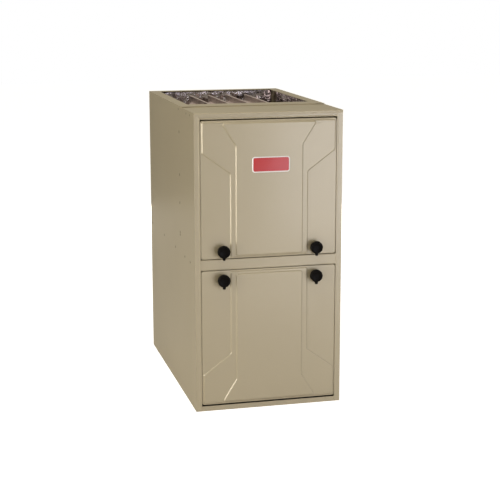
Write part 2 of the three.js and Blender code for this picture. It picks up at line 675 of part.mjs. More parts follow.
// One clamshell cell: four level hollow passes on a pressed seam, the top one facing its burner.
function heatCell() {
  const passes = Array.from({ length: CELL_PASSES }, (_, i) => rod(CELL_TUBE_RADIUS, CELL_LENGTH, 'y',
    [0, 0, -i * CELL_PASS_PITCH], SMALL_ROUND_SIDES));
  const seam = slab([-CELL_SEAM / 2, CELL_SEAM / 2], [0, CELL_LENGTH],
    [CELL_BOTTOM - BURNER_HEIGHT, CELL_TUBE_RADIUS]);
  const bores = passes.map((_, i) => rod(CELL_BORE_RADIUS, CELL_LENGTH - CELL_TUBE_RADIUS + CUT_PAST,
    'y', [0, -CUT_PAST, -i * CELL_PASS_PITCH], SMALL_ROUND_SIDES));
  return cut(join(seam, passes), bores);
}

// The finned coil under the cells: plates standing along the air's way on a flat core of tubes.
function secondaryCoil() {
  const pitch = (COIL_LENGTH - COIL_FIN_THICKNESS) / COIL_FINS;
  const across = [-COIL_HALF_WIDTH, COIL_HALF_WIDTH];
  const core = slab(across, [0, COIL_LENGTH],
    [(COIL_HEIGHT - COIL_CORE) / 2, (COIL_HEIGHT + COIL_CORE) / 2]);
  const fins = Array.from({ length: COIL_FINS + 1 }, (_, i) => (
    slab(across, [i * pitch, i * pitch + COIL_FIN_THICKNESS], [0, COIL_HEIGHT])));
  return join(core, fins);
}

// A pressed shell that takes the cells' gas down to the coil, open at the top.
function couplingBox() {
  const half = COUPLING_HALF_WIDTH;
  const top = CELL_BOTTOM - SEAT_GAP;
  const wall = COUPLING_WALL;
  return cut(slab([-half, half], [0, COUPLING_LENGTH], [COIL_BOTTOM, top]),
    slab([-half + wall, half - wall], [wall, COUPLING_LENGTH - wall],
      [COIL_BOTTOM + wall, top + CUT_PAST]));
}

// The collector is a tray, open towards the coil behind the panel.
function collectorBox() {
  const half = COLLECTOR_WIDTH / 2;
  const wall = COLLECTOR_WALL;
  const tray = slab([-half, half], [-COLLECTOR_DEPTH, 0], [0, COLLECTOR_HEIGHT]);
  const hollow = slab([-half + wall, half - wall], [wall - COLLECTOR_DEPTH, wall],
    [wall, COLLECTOR_HEIGHT - wall]);
  const inlet = rod(INDUCER_INLET_RADIUS, wall * 3, 'y',
    [INDUCER_X, -COLLECTOR_DEPTH - wall, INDUCER_RISE]);
  const barb = rod(BARB_RADIUS, BARB_LENGTH + wall / 2, 'y',
    [BARB_X, -COLLECTOR_DEPTH - BARB_LENGTH, BARB_RISE], SMALL_ROUND_SIDES);
  return join(cut(tray, hollow, inlet), barb);
}

// ---------------------------------------------------------------- burners and gas train

function burnerBox() {
  const half = BURNER_BOX_HALF;
  const height = BURNER_BOX_HEIGHT / 2;
  const outer = slab([-half, half], [-BURNER_BOX_DEPTH, 0], [-height, height]);
  const inner = slab([-half + SHEET, half - SHEET], [-BURNER_BOX_DEPTH - SHEET, -SHEET],
    [-height + SHEET, height - SHEET]);
  const ports = cellPlaces().map((x) => rod(CELL_BORE_RADIUS, SHEET * 4, 'y', [x, -SHEET * 2, 0],
    SMALL_ROUND_SIDES));
  const saddles = [-1, 1].map((side) => manifoldSaddle(side * CELL_PITCH));
  return join(cut(outer, inner, ports), saddles);
}

// A bracket from the box's floor that the gas manifold lies on.
function manifoldSaddle(x) {
  const across = [x - SADDLE_WIDTH / 2, x + SADDLE_WIDTH / 2];
  const floor = -BURNER_BOX_HEIGHT / 2;
  const pipe = -BURNER_BOX_DEPTH - MANIFOLD_STANDOFF;
  const half = SADDLE_THICKNESS / 2;
  return join(
    slab(across, [pipe - half, SHEET - BURNER_BOX_DEPTH], [floor, floor + SHEET]),
    slab(across, [pipe - half, pipe + half], [floor, -GAS_PIPE_RADIUS - SEAT_GAP]),
  );
}

// Four venturi burners on one crossover bar, standing on a bracket.
function burnerRack() {
  const profile = [[0, 0], [BURNER_FLARE_RADIUS, 0], [BURNER_FLARE_RADIUS, BURNER_FLARE],
    [BURNER_RADIUS, BURNER_THROAT], [BURNER_RADIUS, BURNER_LENGTH - BURNER_HEAD],
    [BURNER_FLARE_RADIUS, BURNER_LENGTH], [0, BURNER_LENGTH]];
  const burners = cellPlaces().map((x) => turned(profile, 'y', SMALL_ROUND_SIDES).translate([x, 0, 0]));
  const bores = cellPlaces().map((x) => rod(BURNER_BORE_RADIUS, BURNER_LENGTH + CUT_PAST * 2, 'y',
    [x, -CUT_PAST, 0], SMALL_ROUND_SIDES));
  const reach = BURNER_SPREAD + BURNER_FLARE_RADIUS;
  const half = CROSSOVER_THICKNESS / 2;
  const crossoverEnd = BURNER_LENGTH - CROSSOVER_SETBACK;
  const crossover = slab([-reach, reach], [crossoverEnd - CROSSOVER_THICKNESS, crossoverEnd],
    [-half, half]);
  const floor = -BURNER_BOX_HEIGHT / 2 + SHEET + SEAT_GAP;
  const bracket = slab([-reach, reach],
    [BURNER_BRACKET_START, BURNER_BRACKET_START + BURNER_BRACKET_THICKNESS], [floor, 0]);
  return cut(join(burners, crossover, bracket), bores);
}

function gasManifold() {
  const path = [
    [VALVE_X, MANIFOLD_Y, VALVE_TOP + VALVE_BOSS_HEIGHT + SEAT_GAP],
    [VALVE_X, MANIFOLD_Y, BURNER_HEIGHT],
    [BURNER_SPREAD + GAS_PIPE_BEND, MANIFOLD_Y, BURNER_HEIGHT],
  ];
  const pipe = tubeAlong(path, GAS_PIPE_RADIUS, GAS_PIPE_BEND, PIPE_STEPS);
  const reach = BURNER_FRONT - ORIFICE_GAP - MANIFOLD_Y;
  const orifices = cellPlaces().map((x) => rod(ORIFICE_RADIUS, reach, 'y',
    [x, MANIFOLD_Y, BURNER_HEIGHT], SMALL_ROUND_SIDES));
  return join(pipe, orifices);
}

// The valve's body, with an outlet boss on top and two ears for its lever's pin in front.
function gasValveBody() {
  const body = slab([-VALVE_WIDTH / 2, VALVE_WIDTH / 2], [-VALVE_DEPTH / 2, VALVE_DEPTH / 2],
    [-VALVE_HEIGHT, 0]);
  const boss = rod(VALVE_BOSS_RADIUS, VALVE_BOSS_HEIGHT + LAP, 'z', [0, 0, -LAP]);
  const front = -VALVE_DEPTH / 2;
  const ears = [-1, 1].map((side) => {
    const inside = side * (LEVER_WIDTH / 2 + SEAT_GAP);
    const across = [inside, inside + side * LEVER_EAR].sort((a, b) => a - b);
    return slab(across, [front - LEVER_EAR_REACH, front + LAP],
      [LEVER_Z - LEVER_RADIUS, LEVER_Z + LEVER_RADIUS]);
  });
  const pinHole = rod(LEVER_PIN_RADIUS + SEAT_GAP, VALVE_WIDTH, 'x',
    [-VALVE_WIDTH / 2, front - LEVER_PIN_OFFSET, LEVER_Z], SMALL_ROUND_SIDES);
  return cut(join(body, boss, ears), pinHole);
}

function gasValveLever() {
  const half = LEVER_WIDTH / 2;
  const pinReach = half + SEAT_GAP + LEVER_EAR;
  return join(
    rod(LEVER_RADIUS, LEVER_WIDTH, 'x', [-half, 0, 0], SMALL_ROUND_SIDES),
    rod(LEVER_PIN_RADIUS, pinReach * 2, 'x', [-pinReach, 0, 0], SMALL_ROUND_SIDES),
    slab([-half, half], [-LEVER_LENGTH, 0], [-LEVER_BLADE / 2, LEVER_BLADE / 2]),
  );
}

// An igniter or a flame sensor: a ceramic block with its rod towards the flame.
function sensor() {
  const half = SENSOR_BLOCK / 2;
  return join(
    slab([-half, half], [-half, half], [0, SENSOR_BLOCK]),
    rod(SENSOR_ROD_RADIUS, SENSOR_ROD_LENGTH + LAP, 'y', [0, half - LAP, half], SMALL_ROUND_SIDES),
  );
}

// ---------------------------------------------------------------- inducer, vent, condensate

function inducerOutline(inset, run) {
  return scrollOutline(INDUCER_CUTOFF_RADIUS, INDUCER_SCROLL_RADIUS, BLOWER_CUTOFF_DEGREES, run, inset)
    .map(([up, right]) => [right, up]);
}

function inducerHousing() {
  const outer = drawn(inducerOutline(0, INDUCER_OUTLET_RUN), INDUCER_DEPTH, LAID.facing);
  const inner = drawn(inducerOutline(INDUCER_WALL, INDUCER_OUTLET_RUN - INDUCER_WALL),
    INDUCER_DEPTH - INDUCER_WALL * 2, LAID.facing, [0, -INDUCER_WALL, 0]);
  const inlet = rod(INDUCER_INLET_RADIUS, INDUCER_WALL * 3, 'y', [0, -INDUCER_WALL * 2, 0]);
  const shaftHole = rod(INDUCER_SHAFT_RADIUS + RUNNING_GAP, INDUCER_WALL * 3, 'y',
    [0, -INDUCER_DEPTH - INDUCER_WALL, 0], SMALL_ROUND_SIDES);
  const outlet = rod(VENT_RADIUS - VENT_WALL, INDUCER_WALL * 3, 'x',
    [INDUCER_OUTLET_RUN - INDUCER_WALL * 2, -INDUCER_DEPTH / 2, VENT_RISE]);
  return cut(outer, inner, inlet, shaftHole, outlet);
}

function vane(length, width, thickness, start, tilt, angle) {
  const geometry = new THREE.BoxGeometry(length, thickness, width);
  geometry.rotateX(tilt);
  geometry.translate(start + length / 2, 0, 0);
  geometry.rotateY(angle);
  return toSolid(geometry);
}

function vanes(count, length, width, thickness, start, tilt, y) {
  return Array.from({ length: count }, (_, i) => vane(length, width, thickness, start, tilt,
    (i / count) * Math.PI * 2).translate([0, y, 0]));
}

// The inducer's wheel and shaft, from the wheel's open back edge at y = 0 to the fan's end.
function inducerWheel() {
  const blades = vanes(INDUCER_BLADES, INDUCER_WHEEL_RADIUS - INDUCER_INLET_RADIUS, VANE_THICKNESS,
    INDUCER_WHEEL_WIDTH, INDUCER_INLET_RADIUS, 0, -INDUCER_WHEEL_WIDTH / 2);
  const disc = rod(INDUCER_WHEEL_RADIUS, INDUCER_WALL, 'y',
    [0, -INDUCER_WHEEL_WIDTH - INDUCER_WALL + LAP, 0]);
  const shaftLength = INDUCER_SHAFT_END;
  const shaft = rod(INDUCER_SHAFT_RADIUS, shaftLength, 'y', [0, -shaftLength, 0], SMALL_ROUND_SIDES);
  return join(disc, blades, shaft);
}

function inducerMotor() {
  const bore = INDUCER_SHAFT_RADIUS + RUNNING_GAP;
  const rim = INDUCER_MOTOR_RADIUS;
  const end = INDUCER_MOTOR_LENGTH;
  const chamfer = INDUCER_MOTOR_CHAMFER;
  const profile = [[bore, 0], [rim - chamfer, 0], [rim, chamfer], [rim, end - chamfer],
    [rim - chamfer, end], [bore, end], [bore, 0]];
  return turned(profile, 'y');
}

function inducerFan() {
  const half = INDUCER_FAN_WIDTH / 2;
  const hub = rod(INDUCER_FAN_HUB, INDUCER_FAN_WIDTH, 'y', [0, -half, 0], SMALL_ROUND_SIDES);
  const start = INDUCER_FAN_ROOT;
  const blades = vanes(INDUCER_FAN_BLADES, INDUCER_FAN_RADIUS - start, INDUCER_FAN_WIDTH,
    VANE_THICKNESS, start, THREE.MathUtils.degToRad(INDUCER_FAN_TILT_DEGREES), 0);
  const hole = rod(INDUCER_SHAFT_RADIUS + SEAT_GAP, INDUCER_FAN_WIDTH + CUT_PAST * 2, 'y',
    [0, -half - CUT_PAST, 0], SMALL_ROUND_SIDES);
  return cut(join(hub, blades), hole);
}

function ventPipe() {
  const y = INDUCER_BACK - INDUCER_DEPTH / 2;
  const z = INDUCER_Z + VENT_RISE;
  const path = [[INDUCER_X + INDUCER_OUTLET_RUN + SEAT_GAP, y, z], [VENT_X, y, z],
    [VENT_X, y, TOP_PLATE_BOTTOM - SEAT_GAP]];
  return cut(tubeAlong(path, VENT_RADIUS, VENT_BEND, WIDE_TUBE_STEPS, VENT_SIDES),
    tubeAlong(path, VENT_RADIUS - VENT_WALL, VENT_BEND, WIDE_TUBE_STEPS, VENT_SIDES));
}

function pressureSwitch() {
  const r = PRESSURE_SWITCH_RADIUS;
  const d = PRESSURE_SWITCH_DEPTH;
  const rim = PRESSURE_SWITCH_RIM;
  const can = turned([[0, -d], [r - PRESSURE_SWITCH_CROWN, -d],
    [r - PRESSURE_SWITCH_SHOULDER, -rim - PRESSURE_SWITCH_DOME], [r, -rim], [r, 0], [0, 0]], 'y');
  const barb = rod(BARB_RADIUS, BARB_LENGTH + LAP, 'y', [0, -d - BARB_LENGTH, 0], SMALL_ROUND_SIDES);
  return join(can, barb);
}

function pressureTube() {
  const fromY = BEFORE_PANEL - PRESSURE_SWITCH_DEPTH - BARB_LENGTH - SEAT_GAP;
  const toY = COLLECTOR_FRONT - BARB_LENGTH - SEAT_GAP;
  const outY = toY - TUBE_STANDOFF;
  const fromZ = ABOVE_DECK + PRESSURE_SWITCH_RISE;
  const toZ = COLLECTOR_BOTTOM + BARB_RISE;
  const path = [[PRESSURE_SWITCH_X, fromY, fromZ], [PRESSURE_SWITCH_X, outY, fromZ],
    [BARB_X, outY, toZ], [BARB_X, toY, toZ]];
  return tubeAlong(path, TUBE_RADIUS, TUBE_BEND, THIN_TUBE_STEPS);
}

function condensateTrap() {
  const outline = roundedRectangle(TRAP_WIDTH, TRAP_HEIGHT, TRAP_CORNER, 0);
  const body = drawn(outline, TRAP_DEPTH, LAID.facing);
  const spout = rod(DRAIN_RADIUS, TRAP_SPOUT + LAP, 'z', [0, -TRAP_DEPTH / 2, -TRAP_SPOUT],
    SMALL_ROUND_SIDES);
  return join(body, spout);
}

function drainTube() {
  const length = TRAP_GAP - SEAT_GAP * 2;
  return cut(rod(DRAIN_RADIUS, length, 'x', [0, 0, 0], VENT_SIDES),
    rod(DRAIN_RADIUS - DRAIN_WALL, length + CUT_PAST * 2, 'x', [-CUT_PAST, 0, 0], VENT_SIDES));
}

// ---------------------------------------------------------------- blower

function blowerHousing() {
  const outline = (inset, height) => scrollOutline(BLOWER_CUTOFF_RADIUS, BLOWER_SCROLL_RADIUS,
    BLOWER_CUTOFF_DEGREES, height, inset);
  const outlet = BELOW_DECK - BLOWER_Z;
  const outer = drawn(outline(0, outlet), BLOWER_WIDTH, LAID.sideways, [-BLOWER_HALF, 0, 0]);
  const inner = drawn(outline(SHEET, outlet + SHEET), BLOWER_WIDTH - SHEET * 2, LAID.sideways,
    [-BLOWER_HALF + SHEET, 0, 0]);
  const front = BLOWER_OUTLET_FRONT - SHEET;
  const flange = slab([-BLOWER_HALF - BLOWER_FLANGE, BLOWER_HALF + BLOWER_FLANGE],
    [front - BLOWER_FLANGE, BLOWER_SCROLL_RADIUS + BLOWER_FLANGE], [outlet - SHEET, outlet]);
  const inlets = rod(BLOWER_INLET_RADIUS, BLOWER_WIDTH + CUT_PAST * 2, 'x', [-BLOWER_HALF - CUT_PAST, 0, 0],
    ROUND_SIDES);
  return cut(join(outer, flange), inner, inlets);
}

function wheelBlade(angle) {
  const middle = (WHEEL_INNER_RADIUS + WHEEL_RADIUS) / 2;
  const tip = WHEEL_RADIUS - LAP;
  const root = WHEEL_INNER_RADIUS + LAP;
  const t = BLADE_THICKNESS;
  const outline = [[root, 0], [middle, -BLADE_CAMBER], [tip, 0], [tip, t], [middle, t - BLADE_CAMBER],
    [root, t]];
  const turnedOutline = outline.map(([x, y]) => [
    x * Math.cos(angle) - y * Math.sin(angle), x * Math.sin(angle) + y * Math.cos(angle)]);
  return drawn(turnedOutline, WHEEL_WIDTH - LAP * 2, LAID.sideways, [LAP - WHEEL_WIDTH / 2, 0, 0]);
}

function blowerWheel() {
  const rim = [[WHEEL_INNER_RADIUS, 0], [WHEEL_RADIUS, 0], [WHEEL_RADIUS, WHEEL_RIM],
    [WHEEL_INNER_RADIUS, WHEEL_RIM], [WHEEL_INNER_RADIUS, 0]];
  const rims = [-WHEEL_WIDTH / 2, WHEEL_WIDTH / 2 - WHEEL_RIM].map((x) => (
    turned(rim, 'x', WHEEL_BLADES).translate([x, 0, 0])));
  const blades = Array.from({ length: WHEEL_BLADES }, (_, i) => (
    wheelBlade((i / WHEEL_BLADES) * Math.PI * 2)));
  const disc = rod(WHEEL_RADIUS - LAP * 2, BLADE_THICKNESS, 'x', [WHEEL_DISC_OFFSET, 0, 0], WHEEL_BLADES);
  const hub = rod(HUB_RADIUS, HUB_LENGTH, 'x', [WHEEL_DISC_OFFSET - HUB_LENGTH / 2, 0, 0]);
  const bore = rod(SHAFT_RADIUS + SEAT_GAP, HUB_LENGTH + CUT_PAST * 2, 'x',
    [WHEEL_DISC_OFFSET - HUB_LENGTH / 2 - CUT_PAST, 0, 0], SMALL_ROUND_SIDES);
  return cut(join(disc, hub, rims, blades), bore);
}

function blowerShaft() {
  const start = MOTOR_INNER_END - MOTOR_BORE_DEPTH + SHAFT_END_PLAY;
  const end = WHEEL_DISC_OFFSET + HUB_LENGTH / 2 + SHAFT_END_PROUD;
  return rod(SHAFT_RADIUS, end - start, 'x', [start, 0, 0], SMALL_ROUND_SIDES);
}

function blowerMotor() {
  const r = MOTOR_RADIUS;
  const end = MOTOR_LENGTH;
  const crown = r - MOTOR_END_CROWN;
  const bend = [r - MOTOR_SHOULDER_DROP, MOTOR_CROWN_RISE];
  const profile = [[0, 0], [crown, 0], bend, [r, MOTOR_SHOULDER], [r, end - MOTOR_SHOULDER],
    [bend[0], end - bend[1]], [crown, end], [0, end]];
  const body = turned(profile, 'x').translate([MOTOR_INNER_END - MOTOR_LENGTH, 0, 0]);
  const bore = rod(SHAFT_RADIUS + RUNNING_GAP, MOTOR_BORE_DEPTH + CUT_PAST, 'x',
    [MOTOR_INNER_END - MOTOR_BORE_DEPTH, 0, 0], SMALL_ROUND_SIDES);
  return cut(body, bore);
}

// A band round the motor, its arms bolted to the housing's side.
function motorMount() {
  const inside = MOTOR_RADIUS + SEAT_GAP;
  const outside = inside + MOTOR_BAND_THICKNESS;
  const side = -BLOWER_HALF - SEAT_GAP;
  const band = cut(rod(outside, MOTOR_BAND, 'x', [side - MOTOR_BAND, 0, 0]),
    rod(inside, MOTOR_BAND + CUT_PAST * 2, 'x', [side - MOTOR_BAND - CUT_PAST, 0, 0]));
  const reach = BLOWER_INLET_RADIUS + MOTOR_ARM_REACH;
  const arms = Array.from({ length: MOTOR_ARMS }, (_, i) => {
    const start = inside + LAP * 2;
    const geometry = new THREE.BoxGeometry(MOTOR_BAND_THICKNESS, reach - start, MOTOR_ARM_WIDTH);
    geometry.translate(side - MOTOR_BAND_THICKNESS / 2, (reach + start) / 2, 0);
    geometry.rotateX((i / MOTOR_ARMS) * Math.PI * 2 + Math.PI / 2);
    return toSolid(geometry);
  });
  return join(band, arms);
}

// ---------------------------------------------------------------- controls

// A bent bracket under the deck: a back plate with flanges above and below, and the board's posts.
function controlBox() {
  const bottom = -CONTROL_HEIGHT;
  const back = slab([0, CONTROL_WIDTH], [0, SHEET], [bottom, 0]);
  const top = slab([0, CONTROL_WIDTH], [-CONTROL_FLANGE, SHEET], [-SHEET, 0]);
  const foot = slab([0, CONTROL_WIDTH], [-CONTROL_FLANGE, SHEET], [bottom, bottom + SHEET]);
  const posts = [];
  for (const x of [POST_INSET, BOARD_WIDTH - POST_INSET]) {
    for (const z of [POST_INSET, BOARD_HEIGHT - POST_INSET]) {
      posts.push(rod(POST_RADIUS, POST_HEIGHT + LAP, 'y',
        [BOARD_MARGIN + x, -POST_HEIGHT, -SHEET - BOARD_MARGIN - z], SMALL_ROUND_SIDES));
    }
  }
  const pass = rod(HARNESS_HOLE_RADIUS, SHEET * 3, 'z',
    [CONNECTOR_X - CONTROL_LEFT, CONNECTOR_Y - CONTROL_Y, -SHEET * 2]);
  return cut(join(back, top, foot, posts), pass);
}

// The board from its top left corner, with its connector and a row of relays.
function controlBoard() {
  const t = BOARD_THICKNESS;
  const board = slab([0, BOARD_WIDTH], [-t, 0], [-BOARD_HEIGHT, 0]);
  const middle = BOARD_WIDTH / 2;
  const connector = slab([middle - CONNECTOR_WIDTH / 2, middle + CONNECTOR_WIDTH / 2],
    [-t - CONNECTOR_DEPTH, LAP - t], [-BOARD_MARGIN - CONNECTOR_HEIGHT, -BOARD_MARGIN]);
  const pitch = BOARD_WIDTH / RELAY_COUNT;
  const relays = Array.from({ length: RELAY_COUNT }, (_, i) => {
    const x = pitch / 2 + i * pitch;
    return slab([x - RELAY_SIZE / 2, x + RELAY_SIZE / 2], [-t - RELAY_SIZE, LAP - t],
      [-BOARD_HEIGHT + BOARD_MARGIN, -BOARD_HEIGHT + BOARD_MARGIN + RELAY_HEIGHT]);
  });
  return join(board, connector, relays);
}

function transformer() {
  const half = TRANSFORMER_WIDTH / 2;
  const d = TRANSFORMER_DEPTH;
  const core = slab([-half, half], [(-d - TRANSFORMER_STACK) / 2, (TRANSFORMER_STACK - d) / 2],
    [0, TRANSFORMER_HEIGHT]);
  const coil = drawn(roundedRectangle(TRANSFORMER_COIL_WIDTH, TRANSFORMER_COIL_HEIGHT,
    TRANSFORMER_COIL_CORNER, (TRANSFORMER_HEIGHT - TRANSFORMER_COIL_HEIGHT) / 2), d, LAID.facing);
  return join(core, coil);
}

function doorSwitchBody() {
  const half = SWITCH_WIDTH / 2;
  const body = slab([-half, half], [0, SWITCH_DEPTH], [-SWITCH_HEIGHT, 0]);
  const bore = rod(PLUNGER_RADIUS + SEAT_GAP, PLUNGER_INSERTION + PLUNGER_TRAVEL + CUT_PAST * 2,
    'y', [0, -CUT_PAST, PLUNGER_RISE - SWITCH_HEIGHT], SMALL_ROUND_SIDES);
  return cut(body, bore);
}

function wiringHarness() {
  const z = INDUCER_Z;
  const y = INDUCER_FRONT - SEAT_GAP - INDUCER_MOTOR_LENGTH / 2;
  const end = INDUCER_X - INDUCER_MOTOR_RADIUS - SEAT_GAP * 2;
  const path = [[CONNECTOR_X, CONNECTOR_Y, CONNECTOR_TOP + SEAT_GAP], [CONNECTOR_X, CONNECTOR_Y, z],
    [end - HARNESS_CLEARANCE, y, z], [end, y, z]];
  return tubeAlong(path, HARNESS_RADIUS, HARNESS_BEND, PIPE_STEPS);
}

function junctionBox() {
  const w = JUNCTION_SIZE;
  const outer = slab([0, JUNCTION_DEPTH], [-w / 2, w / 2], [-w / 2, w / 2]);
  const inner = slab([SHEET, JUNCTION_DEPTH + CUT_PAST], [-w / 2 + SHEET, w / 2 - SHEET],
    [-w / 2 + SHEET, w / 2 - SHEET]);
  return cut(outer, inner);
}

// ---------------------------------------------------------------- doors and latches

// A stamped pan, drawn with its latch edge at z = 0 and its hinge edge at z = height.
function doorSkin(height, panelSetback, knobEdge, hinge) {
  const stamped = (inset) => {
    const pan = drawn(roundedRectangle((DOOR_HALF - inset) * 2, height - inset * 2,
      DOOR_CORNER - inset, inset), DOOR_DEPTH, LAID.facing, [0, DOOR_DEPTH + inset, 0]);
    const slope = { rise: STAMP_STEP, run: STAMP_SLOPE };
    const root = STAMP_STEP * 2;
    const side = DOOR_HALF - STAMP_EDGE;
    const end = height - STAMP_EDGE;
    const strip = drawn([[-STRIP_HALF, STAMP_EDGE], [STRIP_HALF, STAMP_EDGE],
      [STRIP_HALF, height - STRIP_BEND], [side, height - STRIP_EDGE], [side, end], [-side, end],
      [-side, height - STRIP_EDGE], [-STRIP_HALF, height - STRIP_BEND]], root, LAID.facing,
    [0, root + inset, 0], slope);
    const c = CENTRE_PANEL_HALF;
    const spreadEnd = end - STAMP_SLOPE;
    const panel = drawn([[-c, panelSetback], [c, panelSetback], [c, height - CENTRE_PANEL_BEND],
      [CENTRE_PANEL_SPREAD, spreadEnd], [-CENTRE_PANEL_SPREAD, spreadEnd],
      [-c, height - CENTRE_PANEL_BEND]], root, LAID.facing, [0, root - STAMP_STEP + inset, 0], slope);
    return join(pan, strip, panel);
  };
  const studs = [-1, 1].map((side) => {
    const across = [side * (DOOR_HALF - SHEET), side * (DOOR_HALF + HINGE_STUD_REACH)];
    return rod(HINGE_STUD_RADIUS, HINGE_STUD_REACH + SHEET, 'x',
      [Math.min(...across), hinge.setback, height - hinge.inset], SMALL_ROUND_SIDES);
  });
  return join(cut(stamped(0), stamped(SHEET), knobHoles(knobEdge)), studs);
}

function knobHoles(knobEdge) {
  return [-1, 1].map((side) => rod(KNOB_SHAFT_RADIUS + KNOB_SHAFT_PLAY, DOOR_DEPTH + SHEET * 2, 'y',
    [side * KNOB_SPACING / 2, -SHEET, knobEdge], SMALL_ROUND_SIDES));
}

function doorLiner(height, knobEdge) {
  const inset = SHEET + SEAT_GAP;
  const pad = drawn(roundedRectangle((DOOR_HALF - inset) * 2, height - inset * 2,
    DOOR_CORNER - inset, inset), DOOR_LINER_THICKNESS, LAID.facing, [0, LINER_BACK, 0]);
  return cut(pad, knobHoles(knobEdge));
}

function nameplate() {
  return drawn(roundedRectangle(NAMEPLATE_WIDTH, NAMEPLATE_HEIGHT, NAMEPLATE_CORNER),
    NAMEPLATE_THICKNESS, LAID.facing);
}

function knob() {
  const outline = Array.from({ length: KNOB_FLUTES * FLUTE_POINTS }, (_, i) => {
    const angle = (i / (KNOB_FLUTES * FLUTE_POINTS)) * Math.PI * 2;
    const radius = KNOB_RADIUS - KNOB_FLUTE_DEPTH * (1 - Math.cos(angle * KNOB_FLUTES)) / 2;
    return [radius * Math.cos(angle), radius * Math.sin(angle)];
  });
  const disc = drawn(outline, KNOB_DISC, LAID.facing, [0, -KNOB_NECK, 0]);
  const neck = rod(KNOB_NECK_RADIUS, KNOB_NECK, 'y', [0, -KNOB_NECK - SEAT_GAP, 0]);
  const half = KNOB_POINTER_WIDTH / 2;
  const tip = KNOB_POINTER_TIP / 2;
  const start = KNOB_POINTER_LAP - KNOB_RADIUS;
  const pointer = drawn([[-half, start], [-tip, -KNOB_POINTER], [tip, -KNOB_POINTER], [half, start]],
    KNOB_POINTER_THICKNESS, LAID.facing,
    [0, -KNOB_NECK - (KNOB_DISC - KNOB_POINTER_THICKNESS) / 2, 0]);
  const shaftEnd = DOOR_DEPTH + PAWL_STANDOFF + PAWL_THICKNESS;
  const shaft = rod(KNOB_SHAFT_RADIUS, shaftEnd + KNOB_NECK, 'y', [0, -KNOB_NECK, 0],
    SMALL_ROUND_SIDES);
  return join(disc, neck, pointer, shaft);
}

function pawl(knobEdge) {
  const near = DOOR_DEPTH + PAWL_STANDOFF;
  const reach = knobEdge + RAIL_DOOR_GAP + PAWL_BITE;
  const arm = slab([-PAWL_WIDTH / 2, reach], [near, near + PAWL_THICKNESS],
    [-PAWL_WIDTH / 2, PAWL_WIDTH / 2]);
  const hole = rod(KNOB_SHAFT_RADIUS + SEAT_GAP, PAWL_THICKNESS + CUT_PAST * 2, 'y',
    [0, near - CUT_PAST, 0],
    SMALL_ROUND_SIDES);
  return cut(arm, hole);
}

// ---------------------------------------------------------------- finishes

function finish(color, roughness, metalness) {
  return new THREE.MeshStandardMaterial({ color, roughness, metalness });
}

const PAINTED_STEEL = finish(0xb2a78f, 0.5, 0.15);
const GALVANISED = finish(0xa9adab, 0.45, 0.85);
const ALUMINISED = finish(0x8f8a86, 0.5, 0.85);
const FOIL = finish(0xb5adb0, 0.25, 0.95);
const INSULATION = finish(0xcfc9bb, 0.9, 0);
const STAINLESS = finish(0xa7a49f, 0.35, 0.95);
const FIN_STOCK = finish(0xb9bab9, 0.35, 0.9);
const BLACK_PLASTIC = finish(0x17130e, 0.4, 0);
const GREY_PLASTIC = finish(0x5a5a58, 0.5, 0);
const WHITE_PLASTIC = finish(0xe9e7e0, 0.4, 0);
const RUBBER = finish(0x1d1c1b, 0.7, 0);
const BLACK_STEEL = finish(0x24231f, 0.55, 0.4);
const MOTOR_STEEL = finish(0x2f3133, 0.45, 0.5);
const CAST_ALUMINIUM = finish(0xb9b9b6, 0.5, 0.9);
const CERAMIC = finish(0xdedbd0, 0.8, 0);
const BOARD_GREEN = finish(0x1f5a35, 0.5, 0);
const COPPER_WINDING = finish(0x8d5a34, 0.45, 0.7);
const RED_ENAMEL = finish(0xa8322e, 0.3, 0);

// ---------------------------------------------------------------- assembly

function part(name, solid, material, [x, y, z] = [0, 0, 0], turn = 0) {
  const mesh = new THREE.Mesh(toGeometry(solid), material);
  mesh.name = name;
  mesh.position.set(x, y, z);
  mesh.rotation.y = turn;
  return mesh;
}

function assembly([x, y, z], ...members) {
  const group = new THREE.Group();
  group.position.set(x, y, z);
  group.add(...members.flat());
  return group;
}

function casing() {
  return assembly([0, 0, 0],
    part('casing_wrap', casingWrap(), PAINTED_STEEL),
    part('top_front_plate', topFrontPlate(), PAINTED_STEEL),
    part('supply_front_strip', supplyFrontStrip(), PAINTED_STEEL),
    part('centre_rail', centreRail(), PAINTED_STEEL),
    part('bottom_rail', bottomRail(), PAINTED_STEEL),
    part('base_panel', basePanel(), GALVANISED),
    part('blower_deck', blowerDeck(), GALVANISED),
    part('vestibule_panel', vestibulePanel(), GALVANISED),
    part('foil_liner_left', sideLiner(-1), FOIL),
    part('foil_liner_right', sideLiner(1), FOIL),
    part('foil_liner_back', backLiner(), FOIL));
}

function heatExchangers() {
  const cells = cellPlaces().map((x, i) => (
    part(`heat_cell_${i + 1}`, heatCell(), ALUMINISED, [x, BEHIND_PANEL, BURNER_HEIGHT])));
  return assembly([0, 0, 0], cells,
    part('secondary_coil', secondaryCoil(), FIN_STOCK, [0, BEHIND_PANEL, COIL_BOTTOM]),
    part('coupling_box', couplingBox(), ALUMINISED, [0, COIL_BACK + SEAT_GAP, 0]),
    part('collector_box', collectorBox(), BLACK_PLASTIC, [0, BEFORE_PANEL, COLLECTOR_BOTTOM]));
}

